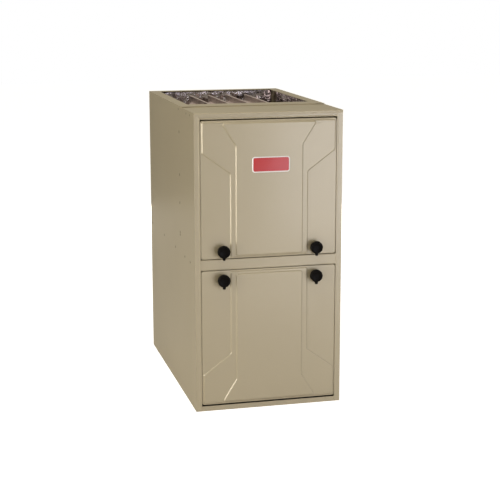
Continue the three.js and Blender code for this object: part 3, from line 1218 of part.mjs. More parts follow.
function gasTrain() {
  const sensorZ = BURNER_BOX_FLOOR + SHEET + SEAT_GAP;
  const sensorY = BEFORE_PANEL - SHEET - SENSOR_SETBACK;
  return assembly([0, 0, 0],
    part('burner_box', burnerBox(), GALVANISED, [0, BEFORE_PANEL, BURNER_HEIGHT]),
    part('burner_rack', burnerRack(), ALUMINISED, [0, BURNER_FRONT, BURNER_HEIGHT]),
    part('gas_manifold', gasManifold(), BLACK_STEEL),
    part('gas_valve_body', gasValveBody(), CAST_ALUMINIUM, [VALVE_X, MANIFOLD_Y, VALVE_TOP]),
    part('gas_valve_lever', gasValveLever(), BLACK_PLASTIC,
      [VALVE_X, MANIFOLD_Y - VALVE_DEPTH / 2 - LEVER_PIN_OFFSET, VALVE_TOP + LEVER_Z]),
    part('igniter', sensor(), CERAMIC, [BURNER_SPREAD, sensorY, sensorZ]),
    part('flame_sensor', sensor(), CERAMIC, [-BURNER_SPREAD, sensorY, sensorZ]),
    part('rollout_switch', rod(ROLLOUT_RADIUS, ROLLOUT_LENGTH, 'x'), BLACK_PLASTIC,
      [BURNER_BOX_HALF + SEAT_GAP, BEFORE_PANEL - BURNER_BOX_DEPTH / 2, BURNER_HEIGHT]));
}

function ventAndCondensate() {
  const motorY = INDUCER_FRONT - SEAT_GAP - INDUCER_MOTOR_LENGTH;
  const wheelY = INDUCER_BACK - INDUCER_WALL - AXIAL_GAP;
  const trapX = -COLLECTOR_WIDTH / 2 - TRAP_GAP;
  const drainZ = COLLECTOR_BOTTOM + DRAIN_RISE;
  return assembly([0, 0, 0],
    assembly([INDUCER_X, 0, INDUCER_Z],
      part('inducer_housing', inducerHousing(), BLACK_PLASTIC, [0, INDUCER_BACK, 0]),
      part('inducer_wheel', inducerWheel(), STAINLESS, [0, wheelY, 0]),
      part('inducer_motor', inducerMotor(), MOTOR_STEEL, [0, motorY, 0]),
      part('inducer_fan', inducerFan(), WHITE_PLASTIC,
        [0, motorY - AXIAL_GAP - INDUCER_FAN_WIDTH / 2, 0])),
    part('vent_pipe', ventPipe(), GREY_PLASTIC),
    part('pressure_switch', pressureSwitch(), WHITE_PLASTIC,
      [PRESSURE_SWITCH_X, BEFORE_PANEL, ABOVE_DECK + PRESSURE_SWITCH_RISE]),
    part('pressure_tube', pressureTube(), RUBBER),
    part('condensate_trap', condensateTrap(), WHITE_PLASTIC,
      [trapX - TRAP_WIDTH / 2, BEFORE_PANEL, drainZ - TRAP_HEIGHT / 2]),
    part('drain_tube', drainTube(), RUBBER,
      [trapX + SEAT_GAP, BEFORE_PANEL - TRAP_DEPTH / 2, drainZ]));
}

function blower() {
  return assembly([0, BLOWER_Y, BLOWER_Z],
    part('blower_housing', blowerHousing(), GALVANISED),
    part('blower_wheel', blowerWheel(), GALVANISED),
    part('blower_shaft', blowerShaft(), STAINLESS),
    part('blower_motor', blowerMotor(), MOTOR_STEEL),
    part('motor_mount', motorMount(), GALVANISED));
}

function controls() {
  const switchY = FRONT + SWITCH_SETBACK;
  const plungerStart = FRONT + LINER_BACK + SEAT_GAP;
  const plungerLength = switchY + PLUNGER_INSERTION - plungerStart;
  const boardY = CONTROL_Y - POST_HEIGHT - SEAT_GAP;
  return assembly([0, 0, 0],
    part('control_box', controlBox(), GALVANISED, [CONTROL_LEFT, CONTROL_Y, BELOW_DECK]),
    part('control_board', controlBoard(), BOARD_GREEN, [BOARD_LEFT, boardY, BOARD_TOP]),
    part('transformer', transformer(), COPPER_WINDING,
      [CONTROL_LEFT + CONTROL_WIDTH - TRANSFORMER_WIDTH / 2 - BOARD_MARGIN, CONTROL_Y - SEAT_GAP,
        BELOW_DECK - CONTROL_HEIGHT + SHEET + SEAT_GAP]),
    part('door_switch_body', doorSwitchBody(), BLACK_PLASTIC, [SWITCH_X, switchY, BELOW_DECK]),
    part('door_switch_plunger', rod(PLUNGER_RADIUS, plungerLength, 'y', [0, 0, 0], SMALL_ROUND_SIDES),
      WHITE_PLASTIC, [SWITCH_X, plungerStart, BELOW_DECK - SWITCH_HEIGHT + PLUNGER_RISE]),
    part('wiring_harness', wiringHarness(), RUBBER),
    part('junction_box', junctionBox(), GALVANISED,
      [-INNER_HALF, BEFORE_PANEL - JUNCTION_SETBACK, ABOVE_DECK + JUNCTION_RISE]));
}

// Two latches of a door, about the door's front face and its latch edge.
function latches(door, knobEdge, y, z) {
  return [['left', -1], ['right', 1]].map(([side, sign]) => (
    assembly([sign * KNOB_SPACING / 2, y, z],
      part(`${door}_knob_${side}`, knob(), BLACK_PLASTIC),
      part(`${door}_pawl_${side}`, pawl(knobEdge), GALVANISED, [0, 0, 0],
        sign < 0 ? Math.PI : 0))));
}

// Each door hangs from its hinge line: the upper one from its top, the lower one from its foot.
function upperDoor() {
  const y = -UPPER_HINGE_SETBACK;
  const latchEdge = UPPER_HINGE_DROP - UPPER_DOOR_HEIGHT;
  const hinge = { setback: UPPER_HINGE_SETBACK, inset: UPPER_HINGE_DROP };
  return assembly([0, FRONT + UPPER_HINGE_SETBACK, UPPER_DOOR_TOP - UPPER_HINGE_DROP],
    part('upper_door_skin', doorSkin(UPPER_DOOR_HEIGHT, STAMP_EDGE + STAMP_SLOPE, UPPER_KNOB_EDGE,
      hinge), PAINTED_STEEL, [0, y, latchEdge]),
    part('upper_door_liner', doorLiner(UPPER_DOOR_HEIGHT, UPPER_KNOB_EDGE), INSULATION,
      [0, y, latchEdge]),
    part('nameplate', nameplate(), RED_ENAMEL,
      [NAMEPLATE_SIDE_OFFSET, y - STAMP_STEP * 2 - SEAT_GAP,
        UPPER_HINGE_DROP - NAMEPLATE_TOP_OFFSET]),
    latches('upper', UPPER_KNOB_EDGE, y, latchEdge + UPPER_KNOB_EDGE));
}

function lowerDoor() {
  const y = -LOWER_HINGE_SETBACK;
  const latchEdge = LOWER_DOOR_HEIGHT - LOWER_HINGE_RISE;
  const hinge = { setback: LOWER_HINGE_SETBACK, inset: LOWER_HINGE_RISE };
  return assembly([0, FRONT + LOWER_HINGE_SETBACK, LOWER_DOOR_BOTTOM + LOWER_HINGE_RISE],
    part('lower_door_skin', doorSkin(LOWER_DOOR_HEIGHT, LOWER_PANEL_SETBACK, LOWER_KNOB_EDGE, hinge),
      PAINTED_STEEL, [0, y, latchEdge], Math.PI),
    part('lower_door_liner', doorLiner(LOWER_DOOR_HEIGHT, LOWER_KNOB_EDGE), INSULATION,
      [0, y, latchEdge], Math.PI),
    latches('lower', LOWER_KNOB_EDGE, y, latchEdge - LOWER_KNOB_EDGE));
}

const furnace = assembly([0, 0, 0], casing(), heatExchangers(), gasTrain(), ventAndCondensate(),
  blower(), controls(), upperDoor(), lowerDoor());

export default furnace;
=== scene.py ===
"""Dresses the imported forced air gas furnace: its finishes, its stamped doors and its studio.

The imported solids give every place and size. The classes below each build one sub-assembly's pieces
round them, in metres, in the row frame: +Z up, the doors facing -Y.
"""

import logging
import math
from dataclasses import dataclass
from enum import Enum
from typing import Callable, Iterable, Sequence

import bmesh
import bpy
from mathutils import Matrix, Vector, noise


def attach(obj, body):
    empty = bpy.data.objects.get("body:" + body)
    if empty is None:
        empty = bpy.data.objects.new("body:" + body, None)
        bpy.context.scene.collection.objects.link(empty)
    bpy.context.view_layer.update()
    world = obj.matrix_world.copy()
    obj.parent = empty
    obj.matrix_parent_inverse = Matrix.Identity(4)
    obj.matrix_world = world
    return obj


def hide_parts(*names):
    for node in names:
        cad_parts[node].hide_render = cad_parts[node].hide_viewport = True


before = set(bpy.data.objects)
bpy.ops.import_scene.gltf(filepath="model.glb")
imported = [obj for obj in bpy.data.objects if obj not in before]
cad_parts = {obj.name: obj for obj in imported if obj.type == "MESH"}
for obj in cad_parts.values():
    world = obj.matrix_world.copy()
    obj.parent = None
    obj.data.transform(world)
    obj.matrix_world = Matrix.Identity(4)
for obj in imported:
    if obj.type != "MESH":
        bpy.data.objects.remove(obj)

LOG = logging.getLogger("furnace")
MM = 0.001
CASING = "casing"
SHADING_ANGLE = 34.0
WELD_MM = 0.002
COAT_ROUGHNESS = 0.14
COARSE_FLECK = 0.55
FINE_FLECK = 0.12

Point = Sequence[float]
Outline = list[tuple[float, float]]
SIDES = ((-1, "left"), (1, "right"))
FORWARD = (0, -1, 0)


# ---------------------------------------------------------------- colour and shader nodes


def linear(hex_colour: str) -> tuple[float, float, float, float]:
    """Turns an sRGB hex colour into linear light.

    Args:
        hex_colour: Six hex digits with a leading hash.

    Returns:
        Linear red, green and blue, with an alpha of 1.
    """
    parts = [int(hex_colour[i : i + 2], 16) / 255 for i in (1, 3, 5)]
    light = [c / 12.92 if c <= 0.04045 else ((c + 0.055) / 1.055) ** 2.4 for c in parts]
    return (light[0], light[1], light[2], 1.0)


def add_node(
    tree: bpy.types.NodeTree,
    kind: str,
    settings: dict[str, object] | None = None,
    sockets: dict[str | int, object] | None = None,
) -> bpy.types.Node:
    """Adds a shader node with its settings and its inputs.

    Args:
        tree: The node tree that gets the node.
        kind: Blender's identifier of the node.
        settings: Node properties by name.
        sockets: Input values, or output sockets to link from, by input name or number.

    Returns:
        The new node.
    """
    node = tree.nodes.new(kind)
    for name, value in (settings or {}).items():
        setattr(node, name, value)
    for key, value in (sockets or {}).items():
        socket = node.inputs[key]
        if isinstance(value, bpy.types.NodeSocket):
            tree.links.new(value, socket)
        else:
            socket.default_value = value
    return node


class Pattern(Enum):
    """What the eye finds on a finish from close by."""

    ORANGE_PEEL = "orange_peel"
    SPANGLE = "spangle"
    MOTTLED = "mottled"
    BRUSHED = "brushed"
    CRINKLED = "crinkled"
    MOULD_GRAIN = "mould_grain"
    CAST = "cast"
    FIBRE = "fibre"
    WINDING = "winding"


@dataclass(frozen=True)
class Finish:
    """One real surface finish.

    Attributes:
        name: The material's name in the file.
        colour: Its main colour, sRGB hex.
        shade: The colour it drifts to in patches, sRGB hex.
        pattern: Its fine structure.
        pattern_mm: The size of one grain, flake or thread of that structure, in millimetres.
        relief_mm: How deep the structure is, in millimetres.
        metallic: How metallic it is, from 0 to 1.
        roughness: Its middle roughness.
        spread: How far the roughness drifts either way.
        coat: The weight of a clear layer on top.
        drift_mm: The size of the colour patches, in millimetres.
        specular: The level of its mirror-like share; 0.5 is usual.
    """

    name: str
    colour: str
    shade: str
    pattern: Pattern
    pattern_mm: float
    relief_mm: float
    metallic: float
    roughness: float
    spread: float = 0.05
    coat: float = 0.0
    drift_mm: float = 120.0
    specular: float = 0.5

    def _structure(self, tree: bpy.types.NodeTree, place: bpy.types.NodeSocket) -> bpy.types.NodeSocket:
        """Adds the texture of the finish's fine structure.

        Args:
            tree: The material's node tree.
            place: Object coordinates in metres.

        Returns:
            A height from 0 to 1.
        """
        per_metre = 1 / (self.pattern_mm * MM)
        if self.pattern in (Pattern.SPANGLE, Pattern.CRINKLED):
            cells = add_node(tree, "ShaderNodeTexVoronoi", {"feature": "F1"},
                             {"Vector": place, "Scale": per_metre, "Randomness": 1.0})
            return cells.outputs["Color" if self.pattern is Pattern.SPANGLE else "Distance"]
        if self.pattern is Pattern.WINDING:
            wave = add_node(tree, "ShaderNodeTexWave", {"wave_type": "BANDS", "bands_direction": "X"},
                            {"Vector": place, "Scale": per_metre * 0.16, "Distortion": 0.3})
            return wave.outputs["Fac"]
        stretch = {Pattern.BRUSHED: (0.06, 1.0, 1.0), Pattern.FIBRE: (1.0, 0.25, 1.0)}
        scaled = add_node(tree, "ShaderNodeMapping", {},
                          {"Vector": place, "Scale": stretch.get(self.pattern, (1.0, 1.0, 1.0))})
        detail = {Pattern.ORANGE_PEEL: 1.0, Pattern.MOTTLED: 4.0, Pattern.CAST: 3.0}.get(self.pattern, 2.0)
        grain = add_node(tree, "ShaderNodeTexNoise", {"noise_dimensions": "3D"},
                         {"Vector": scaled.outputs["Vector"], "Scale": per_metre * 0.5,
                          "Detail": detail, "Roughness": 0.55})
        return grain.outputs["Fac"]

    def material(self) -> bpy.types.Material:
        """Builds the finish once and returns it after that.

        Returns:
            The Blender material.
        """
        known = bpy.data.materials.get(self.name)
        if known and known.get("furnace_finish"):
            return known
        material = bpy.data.materials.new(self.name)
        material["furnace_finish"] = True
        material.use_nodes = True
        tree = material.node_tree
        tree.nodes.clear()
        place = add_node(tree, "ShaderNodeTexCoord").outputs["Object"]
        structure = self._structure(tree, place)
        drift = add_node(tree, "ShaderNodeTexNoise", {},
                         {"Vector": place, "Scale": 0.5 / (self.drift_mm * MM), "Detail": 3.0})
        # Flowers, coils and blotches show in the colour as much as in the relief; a fine grain hardly does.
        coarse = self.pattern in (Pattern.SPANGLE, Pattern.WINDING, Pattern.MOTTLED)
        fleck = COARSE_FLECK if coarse else FINE_FLECK
        blend = add_node(tree, "ShaderNodeMix", {"data_type": "FLOAT"},
                         {0: fleck, 2: drift.outputs["Fac"], 3: structure})
        patches = add_node(tree, "ShaderNodeMapRange", {},
                           {"Value": blend.outputs[0], "From Min": 0.3, "From Max": 0.7})
        colour = add_node(tree, "ShaderNodeMix", {"data_type": "RGBA"},
                          {0: patches.outputs["Result"], 6: linear(self.colour), 7: linear(self.shade)})
        rough = add_node(tree, "ShaderNodeMapRange", {},
                         {"Value": blend.outputs[0], "From Min": 0.25, "From Max": 0.75,
                          "To Min": self.roughness - self.spread, "To Max": self.roughness + self.spread})
        bump = add_node(tree, "ShaderNodeBump", {},
                        {"Height": structure, "Distance": self.relief_mm * MM, "Strength": 1.0})
        shader = add_node(tree, "ShaderNodeBsdfPrincipled", {},
                          {"Base Color": colour.outputs[2], "Roughness": rough.outputs["Result"],
                           "Metallic": self.metallic, "Coat Weight": self.coat,
                           "Coat Roughness": COAT_ROUGHNESS, "Specular IOR Level": self.specular,
                           "Normal": bump.outputs["Normal"]})
        add_node(tree, "ShaderNodeOutputMaterial", {}, {"Surface": shader.outputs["BSDF"]})
        return material


# Sheet steel with a baked powder coat: an even taupe with a faint orange peel and a satin sheen.
POWDER_COAT = Finish("powder_coated_steel", "#B2A78C", "#ACA186", Pattern.ORANGE_PEEL, 2.4, 0.008,
                     0.1, 0.36, 0.02, 0.3, 320.0)
# Hot-dip galvanised sheet: cold grey with large zinc flowers that catch the light each their own way.
GALVANISED = Finish("galvanised_steel", "#A3A7A6", "#8C9190", Pattern.SPANGLE, 11.0, 0.01,
                    0.9, 0.42, 0.10)
# Aluminised sheet, rolled and pressed: a dull warm grey, blotchy where it was heated.
ALUMINISED = Finish("aluminised_steel", "#D2C4BF", "#B0A29F", Pattern.MOTTLED, 16.0, 0.03,
                    0.35, 0.46, 0.10, drift_mm=70.0)
# Foil glued to glass fibre and crushed by hand: a bright mirror broken into small facets.
FOIL = Finish("aluminium_foil", "#D6CCCB", "#ADA2A4", Pattern.CRINKLED, 7.0, 0.6, 1.0, 0.24, 0.08,
              drift_mm=40.0)
# Bare aluminium fin stock of the coil: thin, bright, lightly brushed.
FIN_STOCK = Finish("aluminium_fin_stock", "#BFC0BE", "#A8A9A7", Pattern.BRUSHED, 1.4, 0.01, 1.0, 0.32, 0.06)
# Drawn and rolled stainless: pale, with fine lines along the rolling.
STAINLESS = Finish("stainless_steel", "#B2AFA9", "#9D9A95", Pattern.BRUSHED, 1.2, 0.008, 1.0, 0.30, 0.06)
# Zinc-plated pressings and screws: bluish bright metal with a soft haze.
ZINC_PLATE = Finish("zinc_plate", "#B9BBB9", "#A2A29A", Pattern.MOTTLED, 5.0, 0.006, 1.0, 0.33, 0.08)
# Zinc-plated screws with painted shade: a dark brownish grey, hardly bright, that stands for the shade round
# their heads and in the panel's dimple hollows.
ZINC_PAINTED_SHADE = Finish("zinc_plate_painted_shade", "#756C58", "#5B5342", Pattern.MOTTLED, 4.0, 0.02, 0.4, 0.55, 0.08)
# Injection-moulded nylon: near-black with a fine spark-eroded grain.
BLACK_NYLON = Finish("black_nylon", "#060402", "#0A0704", Pattern.MOULD_GRAIN, 0.9, 0.02, 0.0, 0.42,
                     specular=0.08)
# Glass-filled polypropylene of the flue parts: matt black.
BLACK_POLYPROPYLENE = Finish("black_polypropylene", "#1B1A18", "#24221F", Pattern.MOULD_GRAIN, 1.6,
                             0.03, 0.0, 0.50)
# Moulded ABS of clips, traps and switches: slightly warm white, soft gloss.
WHITE_ABS = Finish("white_abs", "#E2DFD6", "#D5D1C6", Pattern.MOULD_GRAIN, 1.4, 0.01, 0.0, 0.38)
# Extruded PVC pipe: mid grey, faint lines along its length.
GREY_PVC = Finish("grey_pvc", "#6A6B69", "#5D5E5C", Pattern.MOULD_GRAIN, 2.0, 0.01, 0.0, 0.40)
# Silicone and EPDM hose: soft black with a dusty bloom.
BLACK_EPDM = Finish("black_epdm", "#1E1D1C", "#2B2A28", Pattern.MOULD_GRAIN, 1.0, 0.02, 0.0, 0.62)
# Threaded iron gas pipe: black mill scale with a brown cast.
BLACK_IRON = Finish("black_iron_pipe", "#2A2825", "#3A342D", Pattern.CAST, 3.0, 0.05, 0.6, 0.52)
# Die-cast aluminium of the gas valve: even light grey with a grainy skin.
CAST_ALUMINIUM = Finish("die_cast_aluminium", "#A9AAA8", "#989997", Pattern.CAST, 1.8, 0.04, 0.9, 0.45)
# Enamelled motor shell: dark blue-grey paint over a drawn can.
MOTOR_PAINT = Finish("motor_paint", "#2C3034", "#353A3E", Pattern.ORANGE_PEEL, 2.0, 0.015, 0.1, 0.40)
# Glazed steatite of the igniter and the flame rod: chalky white.
STEATITE = Finish("steatite_ceramic", "#DAD6C9", "#CBC6B8", Pattern.CAST, 1.2, 0.02, 0.0, 0.65)
# Glass-epoxy circuit board under green solder mask.
SOLDER_MASK = Finish("solder_mask_board", "#1D5434", "#174328", Pattern.FIBRE, 2.5, 0.02, 0.0, 0.34,
                     drift_mm=18.0)
# Enamelled copper wire wound in close turns.
COPPER_WINDING = Finish("enamelled_copper", "#8A4F2A", "#5D3219", Pattern.WINDING, 1.2, 0.3, 0.7, 0.36)
# Stacked transformer iron, varnished: dark bands a lamination apart.
LAMINATED_IRON = Finish("laminated_iron", "#4A4744", "#36332F", Pattern.WINDING, 1.6, 0.15, 0.5, 0.5)
# Bonded glass fibre behind the doors, with a pale scrim.
GLASS_FIBRE = Finish("glass_fibre_board", "#C9C2AE", "#B5AC94", Pattern.FIBRE, 3.0, 0.5, 0.0, 0.88)
# Vitreous enamel of the blank nameplate: deep red under a clear gloss.
RED_ENAMEL = Finish("red_enamel", "#BE2C2A", "#B62826", Pattern.ORANGE_PEEL, 2.0, 0.004, 0.0, 0.34,
                    0.02, 0.15)
# Satin aluminium rim of the nameplate, lacquered: nearly white.
SATIN_ALUMINIUM = Finish("satin_aluminium", "#E6E1DA", "#D8D3CB", Pattern.BRUSHED, 1.5, 0.005,
                         0.3, 0.34)
# Turned brass of the gas orifices and the spade terminals: warm and bright.
BRASS = Finish("turned_brass", "#B8975A", "#A3834A", Pattern.BRUSHED, 1.0, 0.006, 1.0, 0.30)
# Green-passivated screws of the earth connection.
GREEN_PASSIVATE = Finish("green_passivated_zinc", "#3F6B48", "#33583B", Pattern.MOTTLED, 3.0, 0.01, 0.6, 0.40)
# PVC-insulated hook-up wires in their own colours.
WIRE_COLOURS = {
    name: Finish(f"wire_pvc_{name}", colour, shade, Pattern.MOULD_GRAIN, 1.0, 0.01, 0.0, 0.4)
    for name, colour, shade in (
        ("red", "#A8302A", "#962A25"), ("blue", "#2C4F8E", "#274680"), ("yellow", "#C9A93A", "#B89A33"),
        ("white", "#D9D6CC", "#CBC7BB"), ("black", "#1B1B1B", "#232323"))
}


# ---------------------------------------------------------------- drawing meshes


def rounded(outline: Sequence[Point], radius: float, steps: int = 4) -> Outline:
    """Rounds each corner of a flat outline with an arc.

    Args:
        outline: Corners in order, in millimetres.
        radius: The arcs' radius.
        steps: How many pieces each arc has.

    Returns:
        The rounded outline.
    """
    points: Outline = []
    for i, corner in enumerate(outline):
        here = Vector(corner)
        back = (Vector(outline[i - 1]) - here).normalized()
        ahead = (Vector(outline[(i + 1) % len(outline)]) - here).normalized()
        half = back.angle(ahead) / 2
        run = radius / math.tan(half)
        start, end = here + back * run, here + ahead * run
        for k in range(steps + 1):
            t = k / steps
            bend = start.lerp(here, t).lerp(here.lerp(end, t), t)
            points.append((bend.x, bend.y))
    return points


def inset(outline: Sequence[Point], distance: float) -> Outline:
    """Moves each side of a counterclockwise outline inwards.

    Args:
        outline: Corners in order, in millimetres.
        distance: How far the sides move.

    Returns:
        The moved outline, with as many points.
    """
    moved = []
    for i, corner in enumerate(outline):
        here = Vector(corner)
        before = (here - Vector(outline[i - 1])).normalized()
        after = (Vector(outline[(i + 1) % len(outline)]) - here).normalized()
        inwards = (Vector((-before.y, before.x)) + Vector((-after.y, after.x))).normalized()
        share = max(0.3, inwards.dot(Vector((-before.y, before.x))))
        at = here + inwards * (distance / share)
        moved.append((at.x, at.y))
    return moved


def rectangle(x: tuple[float, float], z: tuple[float, float]) -> Outline:
    """Gives a rectangle's corners, counterclockwise."""
    return [(x[0], z[0]), (x[1], z[0]), (x[1], z[1]), (x[0], z[1])]


def circle(radius: float, sides: int, centre: Point = (0.0, 0.0),
           start: float = 0.0) -> Outline:
    """Gives points on a circle, counterclockwise from an angle in degrees."""
    angles = [2 * math.pi * i / sides + math.radians(start) for i in range(sides)]
    return [(centre[0] + radius * math.cos(a), centre[1] + radius * math.sin(a)) for a in angles]


def screw_head(radius: float, shoulder: float, crown: float, top: float,
               sunk: float = 0.0) -> Outline:
    """Gives the profile of a screw head that narrows to its crown.

    Args:
        radius: The head's radius.
        shoulder: The height up to which its side is straight.
        crown: The radius of its flat top.
        top: The head's height.
        sunk: How far it reaches into what it holds.

    Returns:
        Pairs of radius and height, in millimetres.
    """
    return [(radius, -sunk), (radius, shoulder), (crown, top), (0.3, top)]


def strap(inner: float, outer: float, width: float, edge: float = 0.3) -> Outline:
    """Gives the profile of a band round a can or a hose, its edges turned in.

    Args:
        inner: The radius of what it holds.
        outer: Its own radius.
        width: Its width.
        edge: How far its edges are turned in.

    Returns:
        Pairs of radius and height, in millimetres.
    """
    return [(inner, 0.0), (outer, edge), (outer, width - edge), (inner, width)]


def turned_to(axis: Point) -> Matrix:
    """Gives the turn that takes +Z onto an axis."""
    return Vector((0, 0, 1)).rotation_difference(Vector(axis)).to_matrix().to_4x4()


class Shape:
    """A mesh while it is drawn, in millimetres, made into one piece at the end."""

    def __init__(self) -> None:
        """Starts an empty drawing."""
        self.bm = bmesh.new()

    def loft(self, rings: Iterable[Sequence[Point]], closed: bool = True, ends: bool = True) -> "Shape":
        """Skins a row of rings that have as many points each.

        Args:
            rings: The rings in order.
            closed: Whether each ring's last point joins its first.
            ends: Whether the first and last rings are filled.

        Returns:
            The shape itself.
        """
        rows = [[self.bm.verts.new(p) for p in ring] for ring in rings]
        count = len(rows[0])
        for low, high in zip(rows, rows[1:]):
            for i in range(count if closed else count - 1):
                j = (i + 1) % count
                self.bm.faces.new((low[i], low[j], high[j], high[i]))
        if ends:
            self.bm.faces.new(rows[0][::-1])
            self.bm.faces.new(rows[-1])
        return self

    def lathe(self, profile: Sequence[Point], at: Point, axis: Point = (0, 0, 1), sides: int = 24,
              flutes: Callable[[float], float] | None = None) -> "Shape":
        """Turns pairs of radius and height about an axis.

        Args:
            profile: The pairs, from one end to the other.
            at: Where height zero lies.
            axis: The axis' direction.
            sides: How many points a ring has.
            flutes: A factor on the radius for an angle, or None for a round body.

        Returns:
            The shape itself.
        """
        turn = Matrix.Translation(at) @ turned_to(axis)
        angles = [2 * math.pi * i / sides for i in range(sides)]
        return self.loft([[turn @ Vector((r * math.cos(a) * (flutes(a) if flutes else 1),
                                          r * math.sin(a) * (flutes(a) if flutes else 1), h))
                           for a in angles] for r, h in profile])

    def prism(self, outline: Sequence[Point], y: tuple[float, float]) -> "Shape":
        """Pulls an outline drawn in X and Z through a range of Y."""
        return self.loft([[(x, y[0], z) for x, z in outline], [(x, y[1], z) for x, z in outline]])

    def bar(self, section: Sequence[Point], x: tuple[float, float]) -> "Shape":
        """Pulls a section drawn in Y and Z through a range of X."""
        return self.loft([[(x[0], y, z) for y, z in section], [(x[1], y, z) for y, z in section]])

    def block(self, low: Point, high: Point) -> "Shape":
        """Adds a squared piece between two corners; its edges are rounded when it is made."""
        return self.prism(rectangle((low[0], high[0]), (low[2], high[2])), (low[1], high[1]))

    def tube(self, points: Sequence[Point], radius: float, sides: int = 10) -> "Shape":
        """Sweeps a round section along points.

        Args:
            points: The centre line.
            radius: The section's radius.
            sides: How many points the section has.

        Returns:
            The shape itself.
        """
        line = [Vector(p) for p in points]
        ways = [(line[min(i + 1, len(line) - 1)] - line[max(i - 1, 0)]).normalized()
                for i in range(len(line))]
        across = ways[0].orthogonal().normalized()
        rings = []
        for at, way in zip(line, ways):
            across = (across - way * across.dot(way)).normalized()
            other = way.cross(across)
            rings.append([at + radius * (math.cos(a) * across + math.sin(a) * other)
                          for a in (2 * math.pi * k / sides for k in range(sides))])
        return self.loft(rings)

    def fill(self, loops: Sequence[Sequence[Point]]) -> "Shape":
        """Fills a flat region that faces the front.

        Args:
            loops: Its rim, then its holes.

        Returns:
            The shape itself.
        """
        edges = []
        for loop in loops:
            verts = [self.bm.verts.new(p) for p in loop]
            edges += [self.bm.edges.new((verts[i - 1], verts[i])) for i in range(len(verts))]
        bmesh.ops.triangle_fill(self.bm, edges=edges, use_beauty=True, normal=(0, -1, 0))
        return self

    def surface(self, across: int, along: int, place: Callable[[float, float], Point]) -> "Shape":
        """Adds an open grid whose points come from two shares between 0 and 1.

        Args:
            across: Cells one way.
            along: Cells the other way.
            place: Gives the point for the two shares.

        Returns:
            The shape itself.
        """
        return self.loft([[place(i / across, k / along) for i in range(across + 1)]
                          for k in range(along + 1)], closed=False, ends=False)

    def made(self, name: str, finish: Finish, body: str, slot: str, replaces: Sequence[str] = (),
             bevel: float = 0.0, thickness: float = 0.0, outwards: Point | None = None,
             soft: float = SHADING_ANGLE) -> bpy.types.Object:
        """Turns the drawing into a piece that rides on a body.

        Args:
            name: The piece's name.
            finish: Its finish.
            body: The body that it rides on.
            slot: The record's material slot; not used.
            replaces: CAD nodes that it stands for.
            bevel: The rounding of its edges in millimetres.
            thickness: The thickness that an open surface is given in millimetres, inwards.
            outwards: For an open surface, the side that it faces on the whole.
            soft: The angle in degrees up to which shading runs over an edge.

        Returns:
            The new object.
        """
        bmesh.ops.remove_doubles(self.bm, verts=self.bm.verts, dist=WELD_MM)
        bmesh.ops.recalc_face_normals(self.bm, faces=self.bm.faces)
        if outwards is not None:
            facing = sum((f.normal * f.calc_area() for f in self.bm.faces), Vector())
            if facing.dot(Vector(outwards)) < 0:
                bmesh.ops.reverse_faces(self.bm, faces=self.bm.faces)
        bmesh.ops.scale(self.bm, vec=(MM, MM, MM), verts=self.bm.verts)
        mesh = bpy.data.meshes.new(name)
        self.bm.to_mesh(mesh)
        self.bm.free()
        piece = bpy.data.objects.new(name, mesh)
        bpy.context.scene.collection.objects.link(piece)
        mesh.shade_smooth()
        mesh.set_sharp_from_angle(angle=math.radians(soft))
        if thickness:
            skin = piece.modifiers.new("sheet", "SOLIDIFY")
            skin.thickness, skin.offset = thickness * MM, -1.0
            skin.use_even_offset = True
        soften(piece, bevel, soft)
        mesh.materials.append(finish.material())
        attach(piece, body)
        if replaces:
            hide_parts(*replaces)
        LOG.info("%s: %d faces, %s, rides on %s", name, len(mesh.polygons), finish.name, body)
        return piece


def soften(piece: bpy.types.Object, bevel: float, angle: float = SHADING_ANGLE) -> None:
    """Rounds a piece's sharp edges and keeps its flats flat.

    Args:
        piece: The object.
        bevel: The rounding in millimetres, or 0 for none.
        angle: Edges sharper than this many degrees are rounded.
    """
    if not bevel:
        return
    edge = piece.modifiers.new("edges", "BEVEL")
    edge.width, edge.segments = bevel * MM, 2
    edge.limit_method, edge.angle_limit = "ANGLE", math.radians(angle)
    edge.use_clamp_overlap = True
    normals = piece.modifiers.new("flats", "WEIGHTED_NORMAL")
    normals.keep_sharp = False


def ramp(share: float) -> float:
    """Eases a share from 0 to 1, level at both ends."""
    share = min(1.0, max(0.0, share))
    return share * share * (3 - 2 * share)


# ---------------------------------------------------------------- the casing

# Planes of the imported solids, in millimetres in the row frame.
HALF_WIDTH = 222.25
FRONT = -374.65
BACK = 374.65
TOP = 889.0
PLATE_TOP = 886.8
OPENING_HALF = 205.25
PLATE_BACK = FRONT + 181.7
DECK = 440.0
RAIL_FOOT = 430.0
RAIL_HEAD = 458.0


